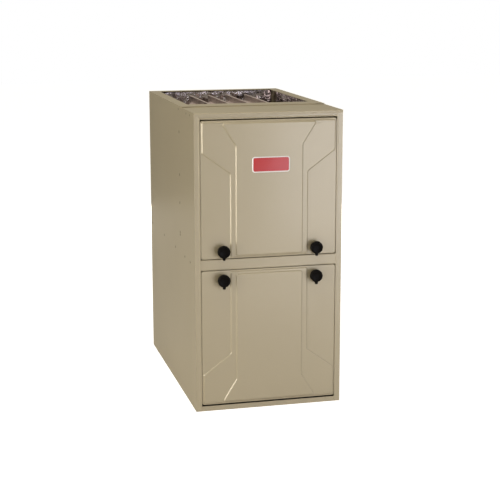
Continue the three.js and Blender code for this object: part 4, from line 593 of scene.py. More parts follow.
@dataclass
class Casing:
    """The wrapped sheet, its covers, rails and fasteners.

    Attributes:
        hem: Width of the folded hem beside each doorway edge, in millimetres.
        lip: Radius of the front cover's rolled edge, in millimetres.
        bead_z: Height of the bead rolled along the header's foot, in millimetres.
        deck_screws: Distances behind the front of the screws that hold the blower deck.
    """

    hem: float = 4.6
    lip: float = 2.6
    bead_z: float = 870.3
    deck_screws: tuple[float, ...] = (71.0, 153.0, 303.0, 499.0, 722.0)

    def build(self) -> None:
        """Builds every piece of the casing."""
        self.front_cover()
        self.hems()
        self.side_fasteners()
        self.back_fasteners()
        self.door_rail_seams()

    def front_cover(self) -> None:
        """Folds the cover whose front edge is rolled over the doors' header."""
        front, bottom, r = FRONT - 1.6, PLATE_TOP - 10.0, self.lip
        bend = [(front + r - r * math.cos(a), PLATE_TOP - r + r * math.sin(a))
                for a in (math.pi / 2 * k / 6 for k in range(7))]
        outside = [(FRONT + 0.4, bottom), (FRONT - 0.1, bottom + 0.5)] + bend + [(PLATE_BACK, PLATE_TOP)]
        inside = [(PLATE_BACK, PLATE_TOP - 1.2), (FRONT + 1.4, PLATE_TOP - 1.2), (FRONT + 1.0, bottom)]
        cover = Shape().bar(outside + inside, (-HALF_WIDTH, HALF_WIDTH))
        cover.block((-220.5, PLATE_BACK - 1.0, PLATE_TOP - 1.2),
                    (220.5, PLATE_BACK + 20.0, PLATE_TOP - 0.05))
        across = (0.4 - OPENING_HALF, OPENING_HALF - 0.4)
        cover.prism(rectangle(across, (870.0, PLATE_TOP - 1.4)), (FRONT + 1.2, FRONT + 2.4))
        cover.bar(circle(2.2, 16, (FRONT + 2.0, self.bead_z)), across)
        cover.made("front_cover", POWDER_COAT, CASING, "painted_steel", ["top_front_plate"], bevel=0.2)

    def hems(self) -> None:
        """Adds the folded hem along each side of the doorway."""
        for side, name in SIDES:
            inner, outer = OPENING_HALF - 0.6, OPENING_HALF + self.hem
            section = [(side * inner, FRONT + 1.2), (side * inner, FRONT - 0.1),
                       (side * (inner + 0.7), FRONT - 0.9), (side * (outer - 1.6), FRONT - 0.9),
                       (side * outer, FRONT - 0.05), (side * outer, FRONT + 1.2)]
            hem = Shape().loft([[(x, y, z) for x, y in section] for z in (0.6, 875.6)])
            hem.made(f"doorway_hem_{name}", POWDER_COAT, CASING, "painted_steel", bevel=0.12)

    def screw(self, shape: Shape, at: Point, axis: Point, radius: float = 4.2, height: float = 0.05) -> None:
        """Adds a low screw head with a dimpled middle to a shape.

        Args:
            shape: The drawing that gets it.
            at: Where its underside sits.
            axis: The way it stands out.
            radius: The head's radius.
            height: The head's height.
        """
        shape.lathe([(radius, -0.5), (radius, height * 0.3), (radius * 0.9, height * 0.8),
                     (radius * 0.62, height), (radius * 0.4, height * 0.96), (radius * 0.3, height * 0.1),
                     (0.08, 0.0)], at, axis, sides=18)

    def side_fasteners(self) -> None:
        """Places the deck's screws, the dark discs of painted shade for the panel's dimple hollows, and the
        cover's screws on both sides.
        """
        for side, name in SIDES:
            x, out = side * HALF_WIDTH, (side, 0, 0)
            screws, dimple_shades = Shape(), Shape()
            for setback in self.deck_screws:
                self.screw(screws, (x, FRONT + setback, DECK + 0.6), out)
            for setback, z in ((229.0, 878.0), (111.0, 876.0), (58.0, 876.0)):
                self.screw(screws, (x, FRONT + setback, z), out, radius=3.2)
            # Each dimple is drawn as a flat dark disc: painted shade where the panel is pressed in.
            for z in (810.0, 680.0, 594.0, 503.0, 495.0):
                dimple_shades.lathe([(4.6, -0.4), (4.6, 0.02), (3.6, 0.05), (0.06, 0.05)],
                              (x, FRONT + 222.0, z), out, sides=20)
            # The screws and the dimple discs take the zinc finish with painted shade.
            screws.made(f"side_screws_{name}", ZINC_PAINTED_SHADE, CASING, "zinc_plate")
            dimple_shades.made(f"side_dimples_{name}", ZINC_PAINTED_SHADE, CASING, "zinc_plate")

    def back_fasteners(self) -> None:
        """Places the screws of the deck and the panel flanges on the back."""
        screws = Shape()
        for x in (-186.0, -93.0, 0.0, 93.0, 186.0):
            for z in (DECK + 0.6, 26.0):
                self.screw(screws, (x, BACK, z), (0, 1, 0))
        # These screws take the zinc finish with painted shade.
        screws.made("back_screws", ZINC_PAINTED_SHADE, CASING, "zinc_plate")

    def door_rail_seams(self) -> None:
        """Adds the rail's end screws, the strip's rivets and the beads along the rail's edges."""
        screws = Shape()
        for x in (-198.0, 198.0):
            self.screw(screws, (x, FRONT, 444.0), FORWARD, radius=2.6, height=0.3)
        for x in (-170.0, -60.0, 60.0, 170.0):
            self.screw(screws, (x, FRONT + 214.0, TOP - 0.05), (0, 0, 1), radius=2.6, height=0.04)
        screws.made("seam_screws", POWDER_COAT, CASING, "painted_steel")
        beads = Shape()
        for z in (RAIL_FOOT - 0.4, RAIL_HEAD + 0.4):
            beads.bar(circle(1.3, 12, (FRONT + 0.7, z)), (0.4 - OPENING_HALF, OPENING_HALF - 0.4))
        beads.made("rail_beads", POWDER_COAT, CASING, "painted_steel")


# ---------------------------------------------------------------- the doors


class HingeEnd(Enum):
    """Which end of a door its pivots are at."""

    TOP = 1
    FOOT = -1


@dataclass
class Door:
    """A stamped door: a pan with a Y-shaped strip and a raised centre panel.

    Attributes:
        body: The body that the door is.
        latch_z: Height of the edge with the knobs, in millimetres.
        height: The door's height.
        hinge: The end with the pivots.
        knob_edge: The knobs' distance from the latch edge.
        panel_start: The centre panel's distance from the latch edge.
        pivot: The pivots' distance behind the front and from the hinge end.
        half: Half the door's width.
        depth: How far its folded edges reach back.
        step: How far each stamped level stands above the one round it.
        slope: The width of the slope between two levels.
        knob_x: The knobs' distance from the middle.
    """

    body: str
    latch_z: float
    height: float
    hinge: HingeEnd
    knob_edge: float
    panel_start: float
    pivot: tuple[float, float]
    half: float = 204.0
    depth: float = 20.0
    step: float = 2.8
    slope: float = 4.4
    knob_x: float = 140.0

    def at(self, x: float, out: float, t: float) -> tuple[float, float, float]:
        """Places a point by its distance from the latch edge, in front of the door's face."""
        return (x, FRONT - out, self.latch_z + self.hinge.value * t)

    def loop(self, outline: Sequence[Point], out: float) -> list[tuple[float, float, float]]:
        """Places a whole outline."""
        return [self.at(x, out, t) for x, t in outline]

    def strip_outline(self) -> Outline:
        """Draws the Y-shaped strip's foot."""
        edge, side, end = 3.0, self.half - 3.0, self.height - 3.0
        return rounded([(-118, edge), (118, edge), (118, self.height - 155), (side, self.height - 94),
                        (side, end), (-side, end), (-side, self.height - 94), (-118, self.height - 155)],
                       8.0, steps=6)

    def panel_outline(self) -> Outline:
        """Draws the centre panel's foot."""
        start, end, bend = self.panel_start + 0.4, self.height - 6.6, self.height - 75
        return rounded([(-102, start), (102, start), (102, bend), (145, end), (-145, end), (-102, bend)],
                       8.0, steps=6)

    def pressed(self, shape: Shape, outline: Outline, low: float) -> Outline:
        """Raises a step round an outline.

        Args:
            shape: The drawing.
            outline: The step's foot.
            low: The height that it starts from.

        Returns:
            The outline at the step's head.
        """
        rings = []
        for k in range(9):
            ring = inset(outline, self.slope * k / 8) if k else outline
            rings.append(self.loop(ring, low + self.step * ramp(k / 8)))
        shape.loft(rings, ends=False)
        return inset(outline, self.slope)

    def skin(self) -> bpy.types.Object:
        """Draws the stamped sheet.

        Returns:
            The sheet.
        """
        shape = Shape()
        border = rounded(rectangle((-self.half, self.half), (0.0, self.height)), 8.0, steps=8)
        fold = 2.2
        rings = [self.loop(border, -self.depth), self.loop(border, -self.depth + 1.0)]
        for k in range(7):
            a = math.pi / 2 * k / 6
            ring = inset(border, fold - fold * math.cos(a)) if k else border
            rings.append(self.loop(ring, -fold + fold * math.sin(a)))
        face = inset(border, fold + 0.15)
        rings.append(self.loop(face, 0.0))
        shape.loft(rings, ends=False)
        holes = [self.loop(circle(6.5, 20, (side * self.knob_x, self.knob_edge)), 0.0) for side in (-1, 1)]
        strip, panel = self.strip_outline(), self.panel_outline()
        shape.fill([self.loop(face, 0.0), self.loop(strip, 0.0), *holes])
        strip_head = self.pressed(shape, strip, 0.0)
        shape.fill([self.loop(strip_head, self.step), self.loop(panel, self.step)])
        panel_head = self.pressed(shape, panel, self.step)
        shape.fill([self.loop(panel_head, self.step * 2)])
        skin = shape.made(f"{self.body}_stamped_skin", POWDER_COAT, self.body, "painted_steel",
                          [f"{self.body}_skin"], thickness=1.2, outwards=FORWARD, soft=50.0)
        skin.modifiers.new("flats", "WEIGHTED_NORMAL").mode = "FACE_AREA_WITH_ANGLE"
        return skin

    def pivots(self) -> None:
        """Adds the two studs that the door tilts about."""
        studs = Shape()
        back, inset_t = self.pivot
        for side in (-1, 1):
            x, y, z = self.at(side * (self.half - 1.0), -back, self.height - inset_t)
            studs.lathe([(3.4, -1.6), (3.4, -0.2), (2.0, 0.0), (2.0, 3.6), (1.6, 4.3), (0.1, 4.4)],
                        (x, y, z), (side, 0, 0), sides=20)
        studs.made(f"{self.body}_pivots", ZINC_PLATE, self.body, "zinc_plate")

    def build(self) -> None:
        """Builds the door with its pivots and knobs."""
        self.skin()
        self.pivots()
        for side, name in SIDES:
            x, _, z = self.at(side * self.knob_x, 0.0, self.knob_edge)
            Knob(self.body.split("_")[0], name, (x, FRONT, z)).build()


@dataclass
class Knob:
    """A fluted quarter-turn knob with a pointer tab, on a shaft through the door.

    Attributes:
        door: The door's short name.
        side: The knob's short name.
        place: Its centre on the door's face.
        flutes: How many flutes its rim has.
        radius: Its radius in millimetres.
    """

    door: str
    side: str
    place: Point
    flutes: int = 12
    radius: float = 18.6

    def build(self) -> None:
        """Turns the knob and joins its pointer and shaft to it."""
        body = f"{self.door}_latch_{self.side}"
        shape = Shape()
        r = self.radius

        def flute(angle: float) -> float:
            """Gives the factor on the radius at an angle."""
            return 1 - 0.028 * (1 - abs(math.cos(angle * self.flutes / 2)) ** 0.6)

        profile = [(12.6, 1.2), (13.4, 2.0), (13.4, 11.2), (15.6, 11.9), (r - 0.9, 12.4), (r, 13.6),
                   (r, 22.6), (r - 0.5, 24.1), (r - 1.8, 25.2), (r - 4.0, 25.7), (r - 6.0, 25.5),
                   (r - 7.0, 24.9), (5.0, 24.5), (0.2, 24.45)]
        x, y, z = self.place
        shape.lathe(profile, (x, y, z), FORWARD, sides=144, flutes=flute)
        shape.lathe([(5.0, -25.4), (5.0, 4.0)], (x, y, z), FORWARD, sides=20)
        tab = rounded([(x - 5.6, z - r + 5), (x - 3.4, z - 24.9),
                       (x + 3.4, z - 24.9), (x + 5.6, z - r + 5)], 1.6)
        shape.loft([[(px, y - out, pz) for px, pz in inset(tab, shrink)]
                    for out, shrink in ((14.0, 0.8), (14.8, 0.0), (22.4, 0.0), (23.6, 0.9))])
        pointer = rounded([(x - 1.3, z - 16.6), (x - 0.9, z - 3.4),
                           (x + 0.9, z - 3.4), (x + 1.3, z - 16.6)], 0.5)
        shape.loft([[(px, y - out, pz) for px, pz in inset(pointer, shrink)]
                    for out, shrink in ((24.0, 0.0), (25.3, 0.0), (25.6, 0.25))])
        shape.made(f"{self.door}_quarter_turn_knob_{self.side}", BLACK_NYLON, body, "knob_plastic",
                   [f"{self.door}_knob_{self.side}"], soft=40.0)


@dataclass
class Nameplate:
    """A blank enamelled plate with a bright rim.

    Attributes:
        centre: The plate's middle, on the panel that it is fixed to.
        size: Its width and height in millimetres.
    """

    centre: Point = (4.0, FRONT - 5.6, 735.0)
    size: tuple[float, float] = (113.0, 46.0)

    def build(self) -> None:
        """Presses the rim and lays the enamel in it."""
        x, y, z = self.centre
        w, h = self.size[0] / 2, self.size[1] / 2
        outline = rounded(rectangle((x - w, x + w), (z - h, z + h)), 9.0, steps=8)

        def level(shrink: float, out: float) -> list[Point]:
            """Gives the outline drawn in by a width, at a height on the door."""
            return [(px, y - out, pz) for px, pz in inset(outline, shrink)]

        rim = Shape().loft([level(0.0, 0.3), level(0.0, 1.3), level(0.5, 1.75), level(2.2, 1.8),
                            level(3.1, 1.6), level(3.3, 1.0), level(3.6, 0.9)])
        rim.made("nameplate_rim", SATIN_ALUMINIUM, "upper_door", "zinc_plate", ["nameplate"], soft=40.0)
        enamel = Shape().loft([level(3.35, 0.8), level(3.35, 1.3), level(3.9, 1.5), level(4.4, 1.55)])
        enamel.made("nameplate_enamel", RED_ENAMEL, "upper_door", "red_enamel", soft=20.0)


# ---------------------------------------------------------------- the supply outlet and the heat exchangers

PANEL_BACK = FRONT + 223.2
BEHIND_PANEL = PANEL_BACK + 0.3
INNER_HALF = 220.75
INNER_BACK = 373.15


@dataclass
class FoilBlanket:
    """Glass fibre with foil glued on it, crushed as it was pushed into the casing.

    Attributes:
        thickness: The blanket's thickness in millimetres.
        fold: The usual distance between its creases.
        depth: How far its creases reach.
        mesh: The size of one cell of its mesh.
        wrinkle: The usual size of its fine wrinkles, along and up.
        swell: The usual distance between its soft swells.
    """

    thickness: float = 18.0
    fold: float = 24.0
    depth: float = 12.0
    mesh: float = 4.5
    wrinkle: tuple[float, float] = (9.0, 11.0)
    swell: float = 90.0

    def crease(self, a: float, b: float, seed: float) -> float:
        """Gives the crushed foil's height at a place on the blanket.

        Args:
            a: Distance along the blanket in millimetres.
            b: Height on the blanket in millimetres.
            seed: Sets each blanket apart.

        Returns:
            The height in millimetres, between 0 and the depth.
        """
        coarse = noise.voronoi(Vector((a / self.fold, b / self.fold * 0.8, seed)))[0]
        fine = noise.voronoi(Vector((a / self.wrinkle[0], b / self.wrinkle[1], seed + 7.0)))[0]
        swell = noise.noise(Vector((a / self.swell, b / self.swell, seed + 3.0)))
        height = 0.55 * (coarse[1] - coarse[0]) + 0.3 * (fine[1] - fine[0]) + 0.25 * swell + 0.2
        return self.depth * min(1.0, max(0.0, height))

    def blanket(self, name: str, node: str, width: float, seed: float,
                place: Callable[[float, float, float], Point], outwards: Point) -> None:
        """Builds one blanket.

        Args:
            name: The piece's name.
            node: The CAD node that it replaces.
            width: Its width in millimetres.
            seed: Sets its creases apart.
            place: Gives the point for a distance along it, a height, and a distance off its wall.
            outwards: The side that its foil faces.
        """
        bottom, top = DECK + 1.6, TOP - 1.7
        across, along = round(width / self.mesh), round((top - bottom) / self.mesh)

        def point(s: float, t: float) -> Point:
            """Gives a point of the foil.

            Args:
                s: Its share along the blanket, from 0 to 1.
                t: Its share up the blanket.

            Returns:
                The point, in millimetres.
            """
            a, b = s * width, bottom + t * (top - bottom)
            edge = min(1.0, 12.0 * min(s, 1 - s), 12.0 * min(t, 1 - t) + 0.35)
            return place(a, b, self.thickness - self.depth + edge * self.crease(a, b, seed))

        Shape().surface(across, along, point).made(
            name, FOIL, CASING, "foil_insulation", [node], thickness=5.0, outwards=outwards, soft=16.0)

    def build(self) -> None:
        """Builds the blankets of both sides and the back."""
        length = INNER_BACK - BEHIND_PANEL
        for side, name in SIDES:
            self.blanket(f"crushed_foil_{name}", f"foil_liner_{name}", length, 11.0 + 5 * side,
                         lambda a, b, off, side=side: (side * (INNER_HALF - off), BEHIND_PANEL + a, b),
                         (-side, 0, 0))
        half = INNER_HALF - self.thickness - 0.3
        self.blanket("crushed_foil_back", "foil_liner_back", half * 2, 31.0,
                     lambda a, b, off: (a - half, INNER_BACK - off, b), FORWARD)


@dataclass
class HeatCells:
    """Clamshell cells: two pressed halves with a serpentine of four passes between them.

    Attributes:
        places: Each cell's distance from the middle, in millimetres.
        top_pass: Height of the top pass.
        pitch: Distance between passes.
        radius: Half a pass's height and width.
        length: The cell's length from the panel.
        flange: How far the crimped seam stands above the top pass.
        seam: Half the thickness of the pressed seam between the passes.
        passes: How many level passes a cell has.
    """

    places: tuple[float, ...] = (-94.5, -31.5, 31.5, 94.5)
    top_pass: float = 840.0
    pitch: float = 66.0
    radius: float = 17.6
    length: float = 466.0
    flange: float = 19.0
    seam: float = 1.6
    passes: int = 4

    def half_depth(self, y: float, z: float) -> float:
        """Gives how far a half stands off the cell's middle plane.

        Args:
            y: Distance behind the panel in millimetres.
            z: Height in millimetres.

        Returns:
            The distance in millimetres.
        """
        bend = self.pitch / 2
        near, far = 26.0 + bend, self.length - 8.0 - bend - self.radius
        shortest = math.inf
        last = self.passes - 1
        for i in range(self.passes):
            centre = self.top_pass - i * self.pitch
            start = near if i else 0.0
            end = self.length if i == last else far
            along = min(max(y, start), end)
            shortest = min(shortest, math.hypot(y - along, z - centre))
            if i < last:
                at_back = i % 2 == 0
                middle, turn = centre - bend, (far if at_back else near)
                beyond = (y - turn) * (1 if at_back else -1)
                if beyond > 0:
                    shortest = min(shortest, abs(math.hypot(beyond, z - middle) - bend))
        share = shortest / self.radius
        if share >= 1:
            return self.seam
        return self.seam + (self.radius - self.seam) * math.sqrt(1 - share * share)

    def build(self) -> None:
        """Presses both halves of each cell."""
        bottom = self.top_pass - (self.passes - 1) * self.pitch - self.radius - 0.4
        top = self.top_pass + self.radius + 0.2
        for i, x in enumerate(self.places):
            cell = Shape()
            for side in (-1, 1):
                def point(s: float, t: float, side: int = side, x: float = x) -> Point:
                    """Gives one half's point.

                    Args:
                        s: Its share along the cell, from 0 to 1.
                        t: Its share up the cell.
                        side: Which half it is on, -1 or 1.
                        x: The cell's middle.

                    Returns:
                        The point, in millimetres.
                    """
                    y, z = s * self.length, bottom + t * (top - bottom)
                    return (x + side * self.half_depth(y, z), BEHIND_PANEL + y, z)
                cell.surface(96, 64, point)
            crimp = [(x - 1.7, top - 2.0), (x + 1.7, top - 2.0), (x + 1.7, top + self.flange - 2.6),
                     (x + 3.4, top + self.flange - 1.6), (x + 3.4, top + self.flange),
                     (x - 3.4, top + self.flange), (x - 3.4, top + self.flange - 1.6),
                     (x - 1.7, top + self.flange - 2.6)]
            cell.prism(crimp, (BEHIND_PANEL + 3.0, BEHIND_PANEL + self.length - 3.0))
            cell.made(f"clamshell_cell_{i + 1}", ALUMINISED, CASING, "aluminised_steel",
                      [f"heat_cell_{i + 1}"], thickness=0.8, soft=60.0)


# ---------------------------------------------------------------- the works behind the doors


def hose(points: Sequence[Point], radius: float, steps: int = 6) -> Shape:
    """Draws a round wire or hose on a smooth curve through points, in millimetres.

    Args:
        points: Where it passes, ends included.
        radius: Its radius.
        steps: Pieces between two points.

    Returns:
        The drawing.
    """
    line = [Vector(p) for p in points]
    line = [line[0] * 2 - line[1], *line, line[-1] * 2 - line[-2]]
    smooth = []
    for i in range(1, len(line) - 2):
        a, b, c, d = line[i - 1 : i + 3]
        for k in range(steps):
            t = k / steps
            smooth.append(0.5 * (2 * b + (c - a) * t + (2 * a - 5 * b + 4 * c - d) * t * t
                                 + (3 * b - a - 3 * c + d) * t ** 3))
    smooth.append(line[-2])
    return Shape().tube(smooth, radius, sides=8)


def wire(name: str, colour: str, points: Sequence[Point], radius: float = 1.25) -> None:
    """Runs one insulated wire between two places on the casing.

    Args:
        name: What it serves.
        colour: The colour of its insulation, from WIRE_COLOURS.
        points: Where it passes, in millimetres.
        radius: Its radius.
    """
    hose(points, radius).made(f"wire_{name}", WIRE_COLOURS[colour], CASING, "wire_insulation", soft=60.0)


# Where the harness stands in the deck's bushing, and how far from its middle the added wires lie.
HARNESS = (-132.8, -306.6)
STRAND = 7.4


def into_harness(turn: float) -> list[Point]:
    """Gives the last points of a wire that joins the harness at the deck's bushing.

    Args:
        turn: On which side of the harness it lies, in degrees.

    Returns:
        The points, in millimetres.
    """
    x = HARNESS[0] + STRAND * math.cos(math.radians(turn))
    y = HARNESS[1] + STRAND * math.sin(math.radians(turn))
    return [(x, y, 464.0), (x, y, 441.0)]


@dataclass
class GasTrain:
    """The fittings on the gas valve, the manifold and the burners.

    Attributes:
        burners: Each burner's distance from the middle, in millimetres.
        line_z: Height of the burners' axes.
        valve_front: The valve's front face, as Y.
    """

    burners: tuple[float, ...] = (-94.5, -31.5, 31.5, 94.5)
    line_z: float = 840.0
    valve_front: float = -300.7

    def build(self) -> None:
        """Builds the fittings, the orifices, the collars and the lead wires."""
        self.valve()
        self.orifices()
        self.pilot_parts()

    def valve(self) -> None:
        """Adds the regulator cap, the cover plate, the pressure plugs and the solenoid to the valve."""
        bright, black = Shape(), Shape()
        front = self.valve_front
        bright.lathe([(9.0, -2.0), (9.0, 3.2), (8.2, 4.0), (4.2, 4.0), (3.8, 3.2), (0.3, 3.2)],
                     (-160.0, front, 778.0), FORWARD, sides=28)
        for x, z in ((-200.0, 717.0), (-153.0, 717.0), (-200.0, 746.0), (-153.0, 746.0)):
            bright.lathe([(2.9, -1.0), (2.9, 0.9), (2.1, 1.7), (0.9, 1.8), (0.6, 0.9), (0.2, 0.9)],
                         (x, front, z), FORWARD, sides=14)
        bright.lathe(screw_head(4.4, 3.0, 3.8, 3.6, 1.0), (-188.0, front, 728.0), FORWARD, sides=6)
        bright.lathe([(19.0, -1.0), (19.0, 6.0), (17.6, 7.2), (14.8, 7.2), (14.8, -6.0), (0.3, -6.0)],
                     (-176.8, -266.3, 710.0), (0, 0, -1), sides=8)
        black.block((-204.0, front - 5.0, 764.0), (-171.0, front + 1.0, 790.0))
        black.block((-199.0, front - 12.0, 770.0), (-180.0, front - 4.4, 784.0))
        bright.made("gas_valve_fittings", ZINC_PLATE, CASING, "zinc_plate", bevel=0.4)
        black.made("gas_valve_coil_cap", BLACK_NYLON, CASING, "black_plastic", bevel=1.0)
        wire("valve_blue", "blue",
             [(-194.0, front - 11.0, 777.0), (-198.0, -322.0, 772.0), (-206.0, -322.0, 730.0),
              (-204.0, -316.0, 640.0), (-190.0, -314.0, 560.0), (-156.0, -313.0, 496.0),
              *into_harness(200.0)])
        wire("valve_white", "white",
             [(-186.0, front - 11.0, 777.0), (-188.0, -324.0, 766.0), (-202.0, -324.0, 726.0),
              (-200.0, -318.0, 640.0), (-186.0, -318.0, 560.0), (-153.0, -317.0, 498.0),
              *into_harness(230.0)])

    def orifices(self) -> None:
        """Turns a hexagon brass orifice and a steel collar for each burner."""
        brass = Shape()
        for x in self.burners:
            brass.lathe([(7.4, 0.0), (8.2, 0.6), (8.2, 6.4), (7.4, 7.0), (5.3, 7.0), (5.3, 9.0), (4.8, 9.4)],
                        (x, -248.0, self.line_z), (0, 1, 0), sides=6)
        brass.made("brass_orifices", BRASS, CASING, "zinc_plate", soft=30.0)
        shields = Shape()
        for x in self.burners:
            shields.lathe(strap(15.3, 17.2, 1.3), (x, -236.4, self.line_z), (0, 1, 0), sides=32)
        shields.made("burner_collars", STAINLESS, CASING, "stainless_steel", soft=50.0)

    def pilot_parts(self) -> None:
        """Adds the igniter's hot tip, the flame rod's bracket and both lead wires."""
        tip = Shape()
        tip.block((91.4, -163.2, 815.2), (92.9, -161.8, 829.0))
        tip.block((96.1, -163.2, 815.2), (97.6, -161.8, 829.0))
        tip.block((91.4, -163.2, 827.6), (97.6, -161.8, 829.2))
        tip.made("igniter_tip", STEATITE, CASING, "ceramic", bevel=0.3)
        clips = Shape()
        for x in (-94.5, 94.5):
            clips.block((x - 9.0, -184.0, 803.2), (x + 9.0, -170.0, 804.0))
            clips.lathe(screw_head(2.2, 0.8, 1.5, 1.3), (x + 7.2, -177.0, 804.0), sides=12)
        clips.made("pilot_clips", ZINC_PLATE, CASING, "zinc_plate", bevel=0.2)
        wire("flame_rod_yellow", "yellow",
             [(-94.5, -187.5, 809.5), (-94.5, -204.0, 808.0), (-96.0, -252.0, 806.0),
              (-98.0, -292.0, 800.0), (-110.0, -300.0, 740.0), (-150.0, -309.0, 620.0),
              (-150.0, -308.0, 500.0), *into_harness(170.0)], 1.1)
        wire("igniter_red", "red",
             [(92.5, -187.5, 809.5), (92.5, -206.0, 808.0), (91.0, -252.0, 806.0),
              (86.0, -288.0, 800.0), (30.0, -312.0, 700.0), (-60.0, -322.0, 600.0),
              (-118.0, -321.0, 510.0), *into_harness(290.0)], 1.1)


@dataclass
class DraftUnit:
    """The trim of the inducer, the pressure switch and the trap.

    Attributes:
        axis: Where the inducer turns, as X and Z in millimetres.
    """

    axis: tuple[float, float] = (10.0, 540.5)

    def build(self) -> None:
        """Builds the motor's bands, the housing's screws, the switch's terminals and the clamps."""
        x, z = self.axis
        bands = Shape()
        for y in (-246.5, -288.0):
            bands.lathe(strap(42.1, 43.0, 3.3), (x, y, z), FORWARD, sides=72)
        for px, pz in circle(36.0, 4, self.axis, 45.0):
            bands.lathe(screw_head(2.6, 1.4, 1.8, 2.1, 0.5), (px, -305.4, pz), FORWARD, sides=6)
        bands.made("inducer_motor_bands", ZINC_PLATE, CASING, "zinc_plate", soft=40.0)
        # Black strips on the motor's can are painted shade for its vent slots.
        slots = Shape()
        for k in range(20):
            a = math.radians(18 * k + 9)
            if abs(math.cos(a)) > 0.97:
                continue
            px, pz = x + 42.2 * math.cos(a), z + 42.2 * math.sin(a)
            out = Vector((math.cos(a), 0, math.sin(a)))
            side = Vector((-math.sin(a), 0, math.cos(a)))
            base = Vector((px, 0, pz))
            slots.loft([[base + side * s + Vector((0, y, 0)) + out * h for s, y in
                         ((-1.6, -282.0), (1.6, -282.0), (1.6, -256.0), (-1.6, -256.0))]
                        for h in (-0.6, 0.12)])
        slots.made("inducer_motor_slot_shades", BLACK_EPDM, CASING, "black_rubber")
        screws = Shape()
        for k in range(6):
            a = math.radians(60 * k + 20)
            px, pz = x + 60.0 * math.cos(a), z + 58.0 * math.sin(a)
            screws.lathe([(4.2, -0.5), (4.2, 0.6), (2.9, 0.8), (2.9, 3.2), (2.2, 3.8), (0.3, 3.8)],
                         (px, -239.2, pz), FORWARD, sides=6)
        screws.made("inducer_housing_screws", ZINC_PLATE, CASING, "zinc_plate", soft=30.0)
        self.switch()
        self.clamps()
        wire("inducer_black", "black", [(x - 42.5, -268.0, z + 6.0), (x - 56.0, -268.0, z + 7.0),
                                        (-64.0, -274.0, 556.0), (-92.0, -290.0, 552.0),
                                        (-114.0, -306.0, 512.0), *into_harness(330.0)])

    def switch(self) -> None:
        """Adds the pressure switch's spade terminals, its rim screws and its two wires."""
        terminals = Shape()
        for px, pz in ((-171.0, 572.0), (-149.0, 572.0)):
            terminals.block((px - 0.5, -199.0, pz - 3.2), (px + 0.5, -188.0, pz + 3.2))
        for px, pz in circle(26.5, 6, (-160.0, 581.5), 30.0):
            terminals.lathe(screw_head(1.9, 0.8, 1.2, 1.3, 0.5), (px, -183.6, pz), FORWARD, sides=10)
        terminals.made("pressure_switch_terminals", BRASS, CASING, "zinc_plate", bevel=0.15)
        wire("pressure_red", "red",
             [(-171.0, -196.0, 572.0), (-172.0, -214.0, 570.0), (-176.0, -246.0, 552.0),
              (-170.0, -292.0, 520.0), (-152.0, -303.0, 488.0), *into_harness(140.0)])
        wire("pressure_yellow", "yellow",
             [(-149.0, -196.0, 572.0), (-150.0, -212.0, 568.0), (-162.0, -246.0, 546.0),
              (-160.0, -290.0, 516.0), (-147.0, -298.0, 488.0), *into_harness(110.0)])

    def clamps(self) -> None:
        """Closes clamps on the drain hose and on the vent."""
        clamps = Shape()
        for px in (-150.0, -125.0):
            clamps.lathe(strap(8.3, 9.0, 3.6, 0.2), (px, -174.0, 482.5), (1, 0, 0), sides=24)
        clamps.lathe(strap(24.2, 25.2, 10.0), (177.75, -213.2, 640.0), sides=48)
        clamps.block((174.0, -242.0, 641.5), (181.5, -237.0, 648.5))
        clamps.made("hose_clamps", STAINLESS, CASING, "stainless_steel", bevel=0.2, soft=40.0)


